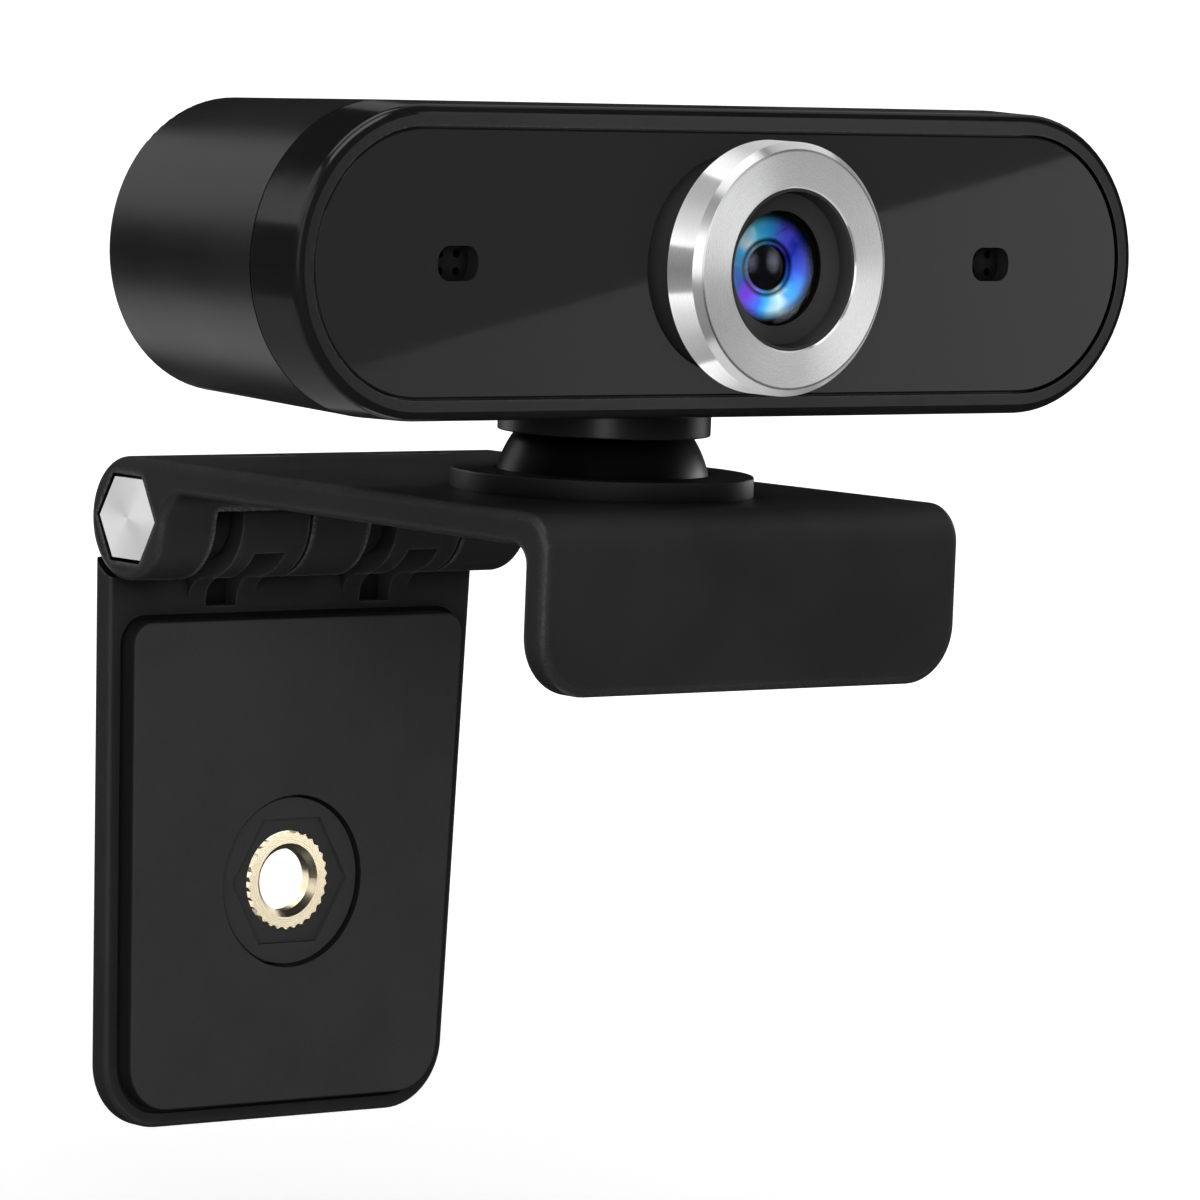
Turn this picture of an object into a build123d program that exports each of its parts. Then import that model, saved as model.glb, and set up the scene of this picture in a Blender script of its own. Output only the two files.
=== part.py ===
from build123d import *
import os
from math import cos, pi, radians, sin, sqrt

# Clip-on video camera: an oblong camera head on a swivelling, tilting neck above a folding monitor clip.
# Millimetres. The origin is on the swivel axis, on the underside of the clip's top plate.
# The lens looks along -Y, +Z is up, +X is to the right of someone facing the lens.

# Clip sheet and jaw
PLATE_T = 2.8
JAW_W = 45.2
HINGE_W = 40.8
JAW_FRONT_Y = -20.2
JAW_DROP = 12.2
BEND_OUTER_R = 3.2
BEND_INNER_R = 1.6
JAW_CORNER_R = 5.0
CLIP_EDGE_R = 0.6

# Hinge at the back of the clip
HINGE_Y = 39.5
BARREL_R = 5.4
BARREL_BLEND_R = 3.0
LEFT_KNUCKLE_W = 5.7
MIDDLE_KNUCKLE_W = 6.5
RIGHT_KNUCKLE_W = 7.4
FINGER_SLEEVE_GAP = 3.0
FINGER_SIDE_GAP = 0.3
FINGER_ROUND_GAP = 0.4
RELIEF_SIDE = 2.0
RELIEF_TOP = 2.9
RELIEF_REACH = 2.7
RELIEF_WEB = 0.7
BOLT_R = 2.0
HEX_AF = 7.0
BOLT_HEAD_T = 2.8
NUT_T = 3.2
HEX_SINK = 0.2
BORE_FIT = 0.05
HEX_FIT = 0.3
SLEEVE_WALL = 1.6
SLEEVE_END_GAP = 0.1
SLEEVE_ROOF_GAP = 0.2

# Folding leg, its pad and the threaded insert
LEG_SET_BACK = 2.25
LEG_T = 2.2
LEG_LENGTH = 54.1
LEG_FOOT_W = 37.4
LEG_CORNER_R = 6.0
LEG_EDGE_R = 0.5
FINGER_ROOT_R = 2.2
PAD_PROUD = 1.35
PAD_SEAT_DEPTH = 0.35
PAD_SEAT_GAP = 0.45
PAD_MARGIN = 1.7
PAD_TOP_GAP = 3.8
PAD_TOP_R = 2.0
PAD_EDGE_R = 0.3
INSERT_DROP = 32.7
PAD_HOLE_R = 7.7
INSERT_BOSS_GAP = 0.3
INSERT_BOSS_SINK = 0.4
INSERT_BOSS_HOLLOW_R = 6.2
POCKET_AF = 11.1
POCKET_DEPTH = 0.5
INSERT_R = 4.4
INSERT_TEETH = 30
INSERT_TOOTH_H = 0.25
INSERT_PROUD = 0.25
INSERT_LENGTH = 1.75
THREAD_R = 2.76
THREAD_RIM_R = 3.3
THREAD_BACK_RIM = 0.25
PRESS_GAP = 0.02

# Swivel dome, its retaining flange and the tilt clamp
BALL_R = 9.2
BALL_DROP = 0.5
DOME_WALL = 1.6
LIP_W = 1.1
LIP_T = 0.95
LIP_FLOOR_GAP = 0.05
RECESS_DEPTH = 1.1
LIP_SIDE_GAP = 0.15
FLANGE_LAND = 2.35
FLANGE_T = 1.65
FLANGE_EDGE_R = 0.15
FLANGE_BORE_GAP = 0.15
PEG_R = 0.6
PEG_LAND = 1.2
PEG_LENGTH = 1.2
PEG_END_GAP = 0.1
PEG_COUNT = 3
TILT_LIMIT = 15.0
SLOT_END_GAP = 0.25
STUD_R = 1.5
STUD_GAP = 0.1
STUD_HEAD_R = 2.75
STUD_HEAD_T = 1.8
STUD_SOCKET_AF = 2.0
STUD_SOCKET_DEPTH = 1.0
CUP_GAP = 0.1
CUP_R = 4.2
CUP_DEPTH = 2.1
SPRING_T = 0.5
SPRING_RISE = 1.0
SPRING_R = 3.6
STUD_NUT_AF = 5.5
STUD_NUT_T = 2.4

# Neck between dome and head
COLLAR_R = 9.0
COLLAR_COVER = 3.8
COLLAR_EDGE_R = 0.12
SEAT_GAP = 0.12
SPIGOT_R = 6.4
SPIGOT_GAP = 0.05
NECK_WEB = 1.7
NECK_PAD_R = 8.0
NECK_WASHER_R = 7.9
NECK_WASHER_T = 0.8

# Camera head shells
SEAM_W = 91.2
SEAM_H = 25.7
FRONT_Y = -15.7
BEZEL_DEPTH = 6.0
SHELL_DEPTH = 20.1
APEX_RISE = 1.52
BEZEL_DRAFT = 0.12
BEZEL_RIM = 1.7
REAR_DRAW_IN = 0.75
BEZEL_EDGE_R = 0.8
REAR_EDGE_R = 0.5
SEAM_GROOVE = 0.15
WALL = 1.8
TONGUE_LENGTH = 1.5
TONGUE_T = 1.2
TONGUE_GAP = 0.1

# Front panel and microphone ports
PANEL_T = 1.35
PANEL_INSET = 0.15
PANEL_GAP = 0.15
LEDGE_W = 1.5
LEDGE_T = 1.4
MIC_X = 29.0
MIC_PORT_W = 4.15
MIC_PORT_H = 2.85
MIC_PORT_R = 1.2
GRILLE_W = 7.0
GRILLE_H = 5.4
GRILLE_T = 0.8
GRILLE_HOLE_R = 0.35
GRILLE_PITCH_X = 1.7
GRILLE_PITCH_Z = 1.45
BOOT_WALL = 0.75
BOOT_LENGTH = 4.0
BOOT_FLOOR = 0.8
BOOT_PORT_R = 1.2
CAPSULE_R = 2.4
CAPSULE_LENGTH = 2.7
BOOT_FIT = 0.05

# Lens surround, focus ring and shade
SURROUND_R = 9.1
SURROUND_LENGTH = 3.45
SURROUND_SPIGOT_R = 8.0
SURROUND_SPIGOT_LENGTH = 2.35
SURROUND_EDGE = 0.2
JOURNAL_R = 7.35
JOURNAL_LENGTH = 1.7
JOURNAL_END_GAP = 0.2
RING_R = 10.45
RING_BACK_GAP = 0.35
RING_T = 4.05
RING_FRONT_BEVEL = 0.55
RING_LINE_W = 0.2
RING_LINE_DROP = 0.07
RING_BACK_BEVEL = 0.3
RING_BORE_R = 6.7
RING_INNER_BEVEL = 0.12
RUNNING_FIT = 0.05
SHADE_WALL = 0.25
SHADE_DEPTH = 1.5
SHADE_CONE = 0.2
SHADE_RISE = 0.6
SHADE_BORE_R = 4.75
SHADE_BACK_T = 0.45

# Lens cell: barrel, glass and stop
LENS_TRAVEL = 0.5
TRAVEL_GAP = 0.05
BARREL_THREAD_R = 6.0
BARREL_HEAD_R = 5.2
BARREL_HEAD_GAP = 0.45
FRONT_GLASS_R = 4.55
FRONT_GLASS_SINK = 0.8
FRONT_GLASS_CURVE_R = 7.0
FRONT_GLASS_T = 3.05
STOP_BORE_R = 1.7
STOP_R = 4.0
STOP_T = 0.6
STOP_ROOM = 2.5
INNER_GLASS_R = 2.9
INNER_GLASS_T = 2.8
INNER_GLASS_CURVE_R = 5.5
REAR_GLASS_R = 3.9
REAR_GLASS_SINK = 1.4
REAR_GLASS_T = 1.6
REAR_GLASS_CURVE_R = 8.0
GLASS_FIT = 0.05

# Circuit board and what it carries
BOARD_FRONT_Y = -2.5
BOARD_T = 1.2
BOARD_W = 72.0
BOARD_RISE = 8.35
BOARD_LOW_GAP = 0.5
BOARD_NOTCH_GAP = 0.4
BOARD_SCREW_X = 32.0
BOARD_SCREW_Z = 4.6
SCREW_R = 0.95
SCREW_HOLE_GAP = 0.05
SCREW_HEAD_R = 1.9
SCREW_HEAD_T = 1.2
SCREW_LENGTH = 6.0
BOSS_WALL = 1.2
BOSS_HOLE_DEPTH = 7.0
HOLDER_W = 24.0
HOLDER_RISE = 7.15
HOLDER_LOW_GAP = 0.3
HOLDER_BASE_T = 3.0
HOLDER_TUBE_WALL = 1.45
HOLDER_FRONT_GAP = 0.3
HOLDER_SCREW_X = 9.8
HOLDER_SCREW_LENGTH = 4.0
SENSOR_SIZE = 8.0
SENSOR_T = 1.0
SENSOR_ROOM = 10.0
SENSOR_ROOM_DEPTH = 1.4
WINDOW_SIZE = 7.0
WINDOW_T = 0.6
FILTER_SIZE = 8.0
FILTER_T = 0.6
FILTER_GAP = 0.4
CHIP_SIZE = 9.0
CHIP_T = 1.0
CHIP_X = -20.0
CRYSTAL_W = 5.0
CRYSTAL_H = 3.2
CRYSTAL_T = 1.2
CRYSTAL_GAP = 2.0
HEADER_W = 8.0
HEADER_H = 4.0
HEADER_DEPTH = 4.5
HEADER_WALL = 0.7
HEADER_X = 20.0
PASSIVE_L = 1.6
PASSIVE_W = 0.8
PASSIVE_T = 0.8
PASSIVE_PITCH = 2.6
PASSIVE_GAP = 2.0

# Cable gland in the back of the head
GLAND_BORE_R = 1.9
GLAND_NECK_R = 3.2
GLAND_HOLE_GAP = 0.05
GLAND_FLANGE_R = 4.4
GLAND_FLANGE_T = 1.0
GLAND_NOSE_R = 4.2
GLAND_NOSE_TIP_R = 3.4
GLAND_NOSE_LENGTH = 1.6

# How squarely a sheet's rim face looks sideways or down
SIDE_FACING = 0.3
DOWN_FACING = 0.9

# Clip and leg places that follow from the sizes above
HINGE_Z = PLATE_T - BARREL_R
HALF_HINGE_W = HINGE_W / 2
JAW_BOTTOM_Z = -JAW_DROP
JAW_BACK_Y = JAW_FRONT_Y + PLATE_T
SLEEVE_R = BOLT_R + BORE_FIT + SLEEVE_WALL
KNUCKLES_W = LEFT_KNUCKLE_W + MIDDLE_KNUCKLE_W + RIGHT_KNUCKLE_W
FINGER_W = (HINGE_W - KNUCKLES_W) / 2 - FINGER_SLEEVE_GAP - FINGER_SIDE_GAP
LEFT_FINGER_X = -HALF_HINGE_W + LEFT_KNUCKLE_W + FINGER_SLEEVE_GAP
RIGHT_FINGER_X = HALF_HINGE_W - RIGHT_KNUCKLE_W - FINGER_SIDE_GAP - FINGER_W
LEG_FRONT_Y = HINGE_Y + LEG_SET_BACK
LEG_REAR_Y = LEG_FRONT_Y + LEG_T
LEG_FOOT_Z = HINGE_Z - LEG_LENGTH
PAD_TOP_Z = HINGE_Z - BARREL_R - PAD_TOP_GAP
PAD_FRONT_Y = LEG_FRONT_Y - PAD_PROUD
PAD_BACK_Y = LEG_FRONT_Y + PAD_SEAT_DEPTH
INSERT_Z = HINGE_Z - INSERT_DROP
INSERT_BOSS_FRONT_Y = PAD_FRONT_Y + INSERT_BOSS_SINK
POCKET_FLOOR_Y = INSERT_BOSS_FRONT_Y + POCKET_DEPTH
INSERT_FRONT_Y = POCKET_FLOOR_Y - INSERT_PROUD
INSERT_BACK_Y = INSERT_FRONT_Y + INSERT_LENGTH

# Swivel and neck places
BALL_Z = PLATE_T - BALL_DROP
BALL_INNER_R = BALL_R - DOME_WALL
BALL_TOP_Z = BALL_Z + BALL_R
LIP_R = BALL_R + LIP_W
RECESS_R = LIP_R + LIP_SIDE_GAP
FLANGE_R = RECESS_R + FLANGE_LAND
FLANGE_TOP_Z = PLATE_T + FLANGE_T
PEG_CIRCLE_R = RECESS_R + PEG_LAND
CUP_FLOOR_Z = BALL_Z + BALL_INNER_R - CUP_DEPTH
COLLAR_BOTTOM_Z = BALL_TOP_Z - COLLAR_COVER
NECK_PAD_Z = BALL_TOP_Z + NECK_WEB
WASHER_TOP_Z = NECK_PAD_Z + NECK_WASHER_T
STUD_TOP_Z = WASHER_TOP_Z + STUD_NUT_T

# Head, lens and board places
HEAD_Z = BALL_TOP_Z - APEX_RISE + SEAM_H / 2
SEAM_Y = FRONT_Y + BEZEL_DEPTH
REAR_Y = SEAM_Y + SHELL_DEPTH
REAR_W = SEAM_W - 2 * REAR_DRAW_IN
REAR_H = SEAM_H - 2 * REAR_DRAW_IN
PANEL_SIDE = BEZEL_DRAFT + BEZEL_RIM + PANEL_GAP
PANEL_W = SEAM_W - 2 * PANEL_SIDE
PANEL_H = SEAM_H - 2 * PANEL_SIDE
PANEL_FRONT_Y = FRONT_Y + PANEL_INSET
PANEL_BACK_Y = PANEL_FRONT_Y + PANEL_T
SURROUND_FRONT_Y = PANEL_FRONT_Y - SURROUND_LENGTH
SURROUND_BACK_Y = PANEL_FRONT_Y + SURROUND_SPIGOT_LENGTH
JOURNAL_TIP_Y = SURROUND_FRONT_Y - JOURNAL_LENGTH
RING_BACK_Y = SURROUND_FRONT_Y - RING_BACK_GAP
RING_FRONT_Y = RING_BACK_Y - RING_T
SHADE_BACK_Y = RING_FRONT_Y + SHADE_DEPTH + SHADE_RISE + SHADE_BACK_T
GLASS_APEX_Y = RING_FRONT_Y + FRONT_GLASS_SINK
GLASS_SEAT_Y = GLASS_APEX_Y + FRONT_GLASS_T
STOP_BACK_Y = GLASS_SEAT_Y + STOP_ROOM
BOARD_BACK_Y = BOARD_FRONT_Y + BOARD_T
BOARD_BOTTOM_Z = WASHER_TOP_Z + BOARD_LOW_GAP
BOARD_TOP_Z = HEAD_Z + BOARD_RISE
NOTCH_TOP_Z = STUD_TOP_Z + BOARD_NOTCH_GAP
FILTER_BACK_Y = BOARD_FRONT_Y - SENSOR_ROOM_DEPTH - WINDOW_T
FILTER_FRONT_Y = FILTER_BACK_Y - FILTER_T
HOLDER_FRONT_Y = SURROUND_BACK_Y + HOLDER_FRONT_GAP
BARREL_FRONT_Y = SHADE_BACK_Y + LENS_TRAVEL + TRAVEL_GAP
BARREL_STEP_Y = HOLDER_FRONT_Y + LENS_TRAVEL
BARREL_BACK_Y = FILTER_FRONT_Y - LENS_TRAVEL - FILTER_GAP
REAR_GLASS_BACK_Y = BARREL_BACK_Y - REAR_GLASS_SINK
REAR_GLASS_FRONT_Y = REAR_GLASS_BACK_Y - REAR_GLASS_T
SCREW_HOLE_R = SCREW_R + SCREW_HOLE_GAP
LENS_AXIS = Axis((0, 0, HEAD_Z), (0, 1, 0))
LENS_SECTION = Plane(origin=(0, 0, HEAD_Z), x_dir=(0, 1, 0), z_dir=(1, 0, 0))


def across(y, x=0, z=HEAD_Z):
    """Plane across the lens axis; extrusions from it run forward, towards -Y."""
    return Plane(origin=(x, y, z), x_dir=(1, 0, 0), z_dir=(0, -1, 0))


def oblong_block(width, height, back_y, front_y):
    return extrude(across(back_y) * SlotOverall(width, height), back_y - front_y)


def drafted_block(front_w, front_h, front_y, back_w, back_h, back_y):
    front = across(front_y) * SlotOverall(front_w, front_h)
    back = across(back_y) * SlotOverall(back_w, back_h)
    return loft([front.face(), back.face()], ruled=True)


def round_bar(radius, back_y, front_y, x=0, z=HEAD_Z):
    return extrude(across(back_y, x, z) * Circle(radius), back_y - front_y)


def block(x, y, z):
    """Box from three (low, high) pairs."""
    size = [pair[1] - pair[0] for pair in (x, y, z)]
    middle = [(pair[1] + pair[0]) / 2 for pair in (x, y, z)]
    return Pos(*middle) * Box(*size)


def turned_on_lens(points):
    """Turn a closed outline of (y, radius) points about the lens axis."""
    return revolve(LENS_SECTION * make_face(Polyline(points, close=True)), LENS_AXIS)


def turned_on_swivel(points):
    """Turn a closed outline of (radius, z) points about the swivel axis."""
    return revolve(Plane.XZ * make_face(Polyline(points, close=True)), Axis.Z)


def upright_bar(radius, low_z, high_z, x=0, y=0):
    return Pos(x, y, low_z) * extrude(Circle(radius), high_z - low_z)


def cross_bar(radius, low_x, high_x, y=HINGE_Y, z=HINGE_Z):
    section = Plane(origin=(low_x, y, z), x_dir=(0, 1, 0), z_dir=(1, 0, 0))
    return extrude(section * Circle(radius), high_x - low_x)


def cross_hex(across_flats, low_x, high_x):
    """Hexagonal bar along the hinge axis with flats above and below."""
    section = Plane(origin=(low_x, HINGE_Y, HINGE_Z), x_dir=(0, 1, 0), z_dir=(1, 0, 0))
    return extrude(section * RegularPolygon(across_flats / 2, 6, major_radius=False), high_x - low_x)


def ball(radius, y=0, z=BALL_Z):
    return Pos(0, y, z) * Sphere(radius)


def lens_ball(radius, centre_y):
    return Pos(0, centre_y, HEAD_Z) * Sphere(radius)


def save(name, *solids):
    """Write one node; several loose solids share a file."""
    shape = solids[0] if len(solids) == 1 else Compound(children=list(solids))
    shape.label = name
    export_step(shape, os.path.join("parts", name + ".step"))


def rim_edges(sheet, is_rim):
    """Edges where the rim faces of a sheet meet its broad faces."""
    edges = sheet.faces().filter_by(is_rim).edges()
    return [edge for edge in edges if sum(edge.is_same(other) for other in edges) == 1]


def is_foot(face, low_z):
    return face.center().Z < low_z + CLIP_EDGE_R and face.normal_at().Z < -DOWN_FACING


def is_side(face):
    return abs(face.normal_at().X) > SIDE_FACING


def clip_width_at(y):
    share = (y - JAW_FRONT_Y) / (HINGE_Y - JAW_FRONT_Y)
    return JAW_W + (HINGE_W - JAW_W) * share


def clip_blank():
    """Bent sheet of the clip: jaw, top plate and rolled hinge barrel, tapered to the hinge."""
    plate = Pos((JAW_FRONT_Y + HINGE_Y) / 2, PLATE_T / 2) * Rectangle(HINGE_Y - JAW_FRONT_Y, PLATE_T)
    jaw_h = PLATE_T + JAW_DROP
    jaw = Pos(JAW_FRONT_Y + PLATE_T / 2, PLATE_T - jaw_h / 2) * Rectangle(PLATE_T, jaw_h)
    barrel = Pos(HINGE_Y, HINGE_Z) * Circle(BARREL_R)
    side = plate + jaw + barrel
    outer_bend = side.vertices().sort_by_distance((JAW_FRONT_Y, PLATE_T, 0))[0]
    side = fillet(outer_bend, BEND_OUTER_R)
    inner_bend = side.vertices().sort_by_distance((JAW_BACK_Y, 0, 0))[0]
    side = fillet(inner_bend, BEND_INNER_R)
    meeting_y = HINGE_Y - sqrt(BARREL_R**2 - HINGE_Z**2)
    blend = side.vertices().sort_by_distance((meeting_y, 0, 0))[0]
    side = fillet(blend, BARREL_BLEND_R)
    sheet = extrude(Plane.YZ * side, JAW_W / 2, both=True)
    rear_y = HINGE_Y + BARREL_R
    front_half = clip_width_at(JAW_FRONT_Y) / 2
    rear_half = clip_width_at(rear_y) / 2
    front = [(-front_half, JAW_FRONT_Y), (front_half, JAW_FRONT_Y)]
    rear = [(rear_half, rear_y), (-rear_half, rear_y)]
    plan = make_face(Polyline(front + rear, close=True))
    blank = sheet & (Pos(0, 0, JAW_BOTTOM_Z) * extrude(plan, jaw_h))
    foot = blank.faces().sort_by(Axis.Z)[0]
    foot_edges = foot.edges().filter_by(lambda edge: edge.length < JAW_W / 2)
    blank = fillet(foot_edges, JAW_CORNER_R)
    rims = rim_edges(blank, lambda face: is_side(face) or is_foot(face, JAW_BOTTOM_Z))
    return fillet(rims, CLIP_EDGE_R)


def finger_places():
    """Left side of each hinge finger."""
    return [LEFT_FINGER_X, RIGHT_FINGER_X]


def sleeve_window(low_x, high_x):
    """Opening round a friction sleeve; the top plate runs on above it as a roof."""
    reach = BARREL_R + FINGER_ROUND_GAP
    below = block((low_x, high_x), (HINGE_Y - reach, HINGE_Y + reach), (HINGE_Z - reach, 0))
    window = cross_bar(reach, low_x, high_x) & below
    return window + cross_bar(SLEEVE_R + SLEEVE_ROOF_GAP, low_x, high_x)


def clip_bracket():
    """Bent clip with the hinge slots, hexagon pockets and the dome's round recess cut in."""
    body = clip_blank()
    for x in finger_places():
        slot_end = x + FINGER_W + FINGER_SIDE_GAP
        body -= cross_bar(BARREL_R + FINGER_ROUND_GAP, x - FINGER_SIDE_GAP, slot_end)
        body -= sleeve_window(x - FINGER_SLEEVE_GAP, x)
    body -= cross_bar(BOLT_R + BORE_FIT, -HALF_HINGE_W, HALF_HINGE_W)
    pocket = HEX_AF + 2 * HEX_FIT
    body -= cross_hex(pocket, -HALF_HINGE_W - HEX_SINK, -HALF_HINGE_W + HEX_SINK + BOLT_HEAD_T)
    body -= cross_hex(pocket, HALF_HINGE_W - HEX_SINK - NUT_T, HALF_HINGE_W + HEX_SINK)
    body -= upright_bar(RECESS_R, PLATE_T - RECESS_DEPTH, PLATE_T)
    for x, y in peg_places():
        body -= upright_bar(PEG_R + PRESS_GAP, PLATE_T - PEG_LENGTH - PEG_END_GAP, PLATE_T, x, y)
    return body


def peg_places():
    turns = [pi / 2 + 2 * pi * n / PEG_COUNT for n in range(PEG_COUNT)]
    return [(PEG_CIRCLE_R * cos(t), PEG_CIRCLE_R * sin(t)) for t in turns]


def swivel_flange():
    disc = upright_bar(FLANGE_R, PLATE_T, FLANGE_TOP_Z)
    disc = fillet(disc.edges().group_by(Axis.Z)[-1], FLANGE_EDGE_R)
    disc -= ball(BALL_R + FLANGE_BORE_GAP)
    for x, y in peg_places():
        disc += upright_bar(PEG_R, PLATE_T - PEG_LENGTH, PLATE_T, x, y)
    return disc


def hinge_bolt():
    head_back = -HALF_HINGE_W + HEX_SINK + BOLT_HEAD_T
    head = cross_hex(HEX_AF, -HALF_HINGE_W + HEX_SINK, head_back)
    return head + cross_bar(BOLT_R, head_back, HALF_HINGE_W - HEX_SINK)


def hinge_nut():
    nut = cross_hex(HEX_AF, HALF_HINGE_W - HEX_SINK - NUT_T, HALF_HINGE_W - HEX_SINK)
    return nut - cross_bar(BOLT_R + PRESS_GAP, 0, HALF_HINGE_W)


def friction_sleeve(finger_x):
    """Sleeve on the bolt that fills the wide gap beside a finger and holds the leg where it is put."""
    low = finger_x - FINGER_SLEEVE_GAP
    high = finger_x - SLEEVE_END_GAP
    return cross_bar(SLEEVE_R, low, high) - cross_bar(BOLT_R + BORE_FIT, low, high)


def leg_half_width(z):
    share = (HINGE_Z - z) / LEG_LENGTH
    return (HINGE_W + (LEG_FOOT_W - HINGE_W) * share) / 2


def leg_outline(top_z, foot_z, margin, foot_r):
    top = leg_half_width(top_z) - margin
    foot = leg_half_width(foot_z) - margin
    corners = [(-top, top_z), (top, top_z), (foot, foot_z), (-foot, foot_z)]
    face = make_face(Polyline(corners, close=True))
    return fillet(face.vertices().group_by(Axis.Y)[0], foot_r)


def clip_leg():
    """Leg plate with two hinge fingers, relieved round the barrel, and a pocketed boss for the insert."""
    outline = leg_outline(HINGE_Z, LEG_FOOT_Z, 0, LEG_CORNER_R)
    leg = extrude(across(LEG_REAR_Y, z=0) * outline, LEG_T)
    rim = rim_edges(leg, lambda face: is_side(face) or is_foot(face, LEG_FOOT_Z))
    leg = fillet(rim, LEG_EDGE_R)
    leg -= cross_bar(BARREL_R + FINGER_ROUND_GAP, -HINGE_W, HINGE_W)
    for low in finger_places():
        high = low + FINGER_W
        middle = (low + high) / 2
        finger = cross_bar(BARREL_R, low, high)
        root_z = HINGE_Z - BARREL_R - FINGER_ROOT_R
        finger += block((low, high), (LEG_FRONT_Y, LEG_REAR_Y), (root_z, HINGE_Z))
        corner_z = HINGE_Z - sqrt(BARREL_R**2 - LEG_SET_BACK**2)
        corner = finger.edges().sort_by_distance((middle, LEG_FRONT_Y, corner_z))[0]
        leg += fillet(corner, FINGER_ROOT_R)
        relief_x = (low + RELIEF_SIDE, high - RELIEF_SIDE)
        relief_y = (HINGE_Y - BARREL_R, LEG_REAR_Y - RELIEF_WEB)
        relief_z = (HINGE_Z - BARREL_R - RELIEF_REACH, HINGE_Z - RELIEF_TOP)
        leg -= block(relief_x, relief_y, relief_z)
    leg -= cross_bar(BOLT_R + BORE_FIT, -HINGE_W, HINGE_W)
    leg -= extrude(across(PAD_BACK_Y, z=0) * pad_outline(PAD_SEAT_GAP), PAD_SEAT_DEPTH)
    leg += round_bar(PAD_HOLE_R - INSERT_BOSS_GAP, PAD_BACK_Y, INSERT_BOSS_FRONT_Y, z=INSERT_Z)
    hexagon = RegularPolygon(POCKET_AF / 2, 6, major_radius=False)
    leg -= extrude(across(POCKET_FLOOR_Y, z=INSERT_Z) * hexagon, POCKET_DEPTH)
    leg -= round_bar(INSERT_BOSS_HOLLOW_R, LEG_REAR_Y, INSERT_BACK_Y, z=INSERT_Z)
    return leg - round_bar(INSERT_R + PRESS_GAP, INSERT_BACK_Y, INSERT_BOSS_FRONT_Y, z=INSERT_Z)


def pad_outline(spread):
    """Outline of the pad, spread outward for the shallow seat that it lies in."""
    margin = PAD_MARGIN - spread
    outline = leg_outline(PAD_TOP_Z + spread, LEG_FOOT_Z + margin, margin, LEG_CORNER_R - margin)
    return fillet(outline.vertices().group_by(Axis.Y)[-1], PAD_TOP_R + spread)


def leg_pad():
    pad = extrude(across(PAD_BACK_Y, z=0) * pad_outline(0), PAD_BACK_Y - PAD_FRONT_Y)
    pad = fillet(pad.faces().sort_by(Axis.Y)[0].edges(), PAD_EDGE_R)
    return pad - round_bar(PAD_HOLE_R, PAD_BACK_Y, PAD_FRONT_Y, z=INSERT_Z)


def tripod_insert():
    """Knurled brass bush; its bore stands at the pitch radius of a quarter-inch camera thread."""
    points = []
    for n in range(2 * INSERT_TEETH):
        radius = INSERT_R if n % 2 else INSERT_R - INSERT_TOOTH_H
        turn = pi * n / INSERT_TEETH
        points.append((radius * cos(turn), radius * sin(turn)))
    toothed = make_face(Polyline(points, close=True))
    bush = extrude(across(INSERT_BACK_Y, z=INSERT_Z) * toothed, INSERT_LENGTH)
    bush -= round_bar(THREAD_R, INSERT_BACK_Y, INSERT_FRONT_Y, z=INSERT_Z)
    rims = bush.edges().filter_by(GeomType.CIRCLE).sort_by(Axis.Y)
    bush = chamfer(rims[0], THREAD_RIM_R - THREAD_R)
    rims = bush.edges().filter_by(GeomType.CIRCLE).sort_by(Axis.Y)
    return chamfer(rims[-1], THREAD_BACK_RIM)


def swivel_dome():
    """Hollow ball cap with a foot lip and a fore-and-aft slot for the tilt stud."""
    lip_low = PLATE_T - RECESS_DEPTH + LIP_FLOOR_GAP
    lip_high = lip_low + LIP_T
    dome = ball(BALL_R) - block((-LIP_R, LIP_R), (-LIP_R, LIP_R), (BALL_Z - BALL_R, lip_low))
    dome += upright_bar(LIP_R, lip_low, lip_high)
    dome -= ball(BALL_INNER_R)
    dome -= upright_bar(sqrt(BALL_INNER_R**2 - (BALL_Z - lip_low)**2), lip_low, BALL_Z)
    half = STUD_R + STUD_GAP
    reach = BALL_R * sin(radians(TILT_LIMIT)) + half / cos(radians(TILT_LIMIT)) + SLOT_END_GAP
    slot = Pos(0, 0, BALL_Z) * extrude(SlotOverall(2 * reach, 2 * half, rotation=90), BALL_R)
    return dome - slot


def tilt_cup():
    cup = ball(BALL_INNER_R - CUP_GAP) & upright_bar(CUP_R, CUP_FLOOR_Z, BALL_TOP_Z)
    return cup - upright_bar(STUD_R + STUD_GAP, CUP_FLOOR_Z, BALL_TOP_Z)


def tilt_spring():
    low = CUP_FLOOR_Z - SPRING_RISE
    inner = STUD_R + STUD_GAP
    bottom = [(inner, low), (SPRING_R, CUP_FLOOR_Z - SPRING_T)]
    top = [(SPRING_R, CUP_FLOOR_Z), (inner, low + SPRING_T)]
    return turned_on_swivel(bottom + top)


def tilt_stud():
    head_top = CUP_FLOOR_Z - SPRING_RISE
    head_low = head_top - STUD_HEAD_T
    stud = upright_bar(STUD_HEAD_R, head_low, head_top)
    stud += upright_bar(STUD_R, head_top, STUD_TOP_Z)
    socket = RegularPolygon(STUD_SOCKET_AF / 2, 6, major_radius=False)
    return stud - Pos(0, 0, head_low) * extrude(socket, STUD_SOCKET_DEPTH)


def neck_washer():
    disc = upright_bar(NECK_WASHER_R, NECK_PAD_Z, WASHER_TOP_Z)
    return disc - upright_bar(STUD_R + STUD_GAP, NECK_PAD_Z, WASHER_TOP_Z)


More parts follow.
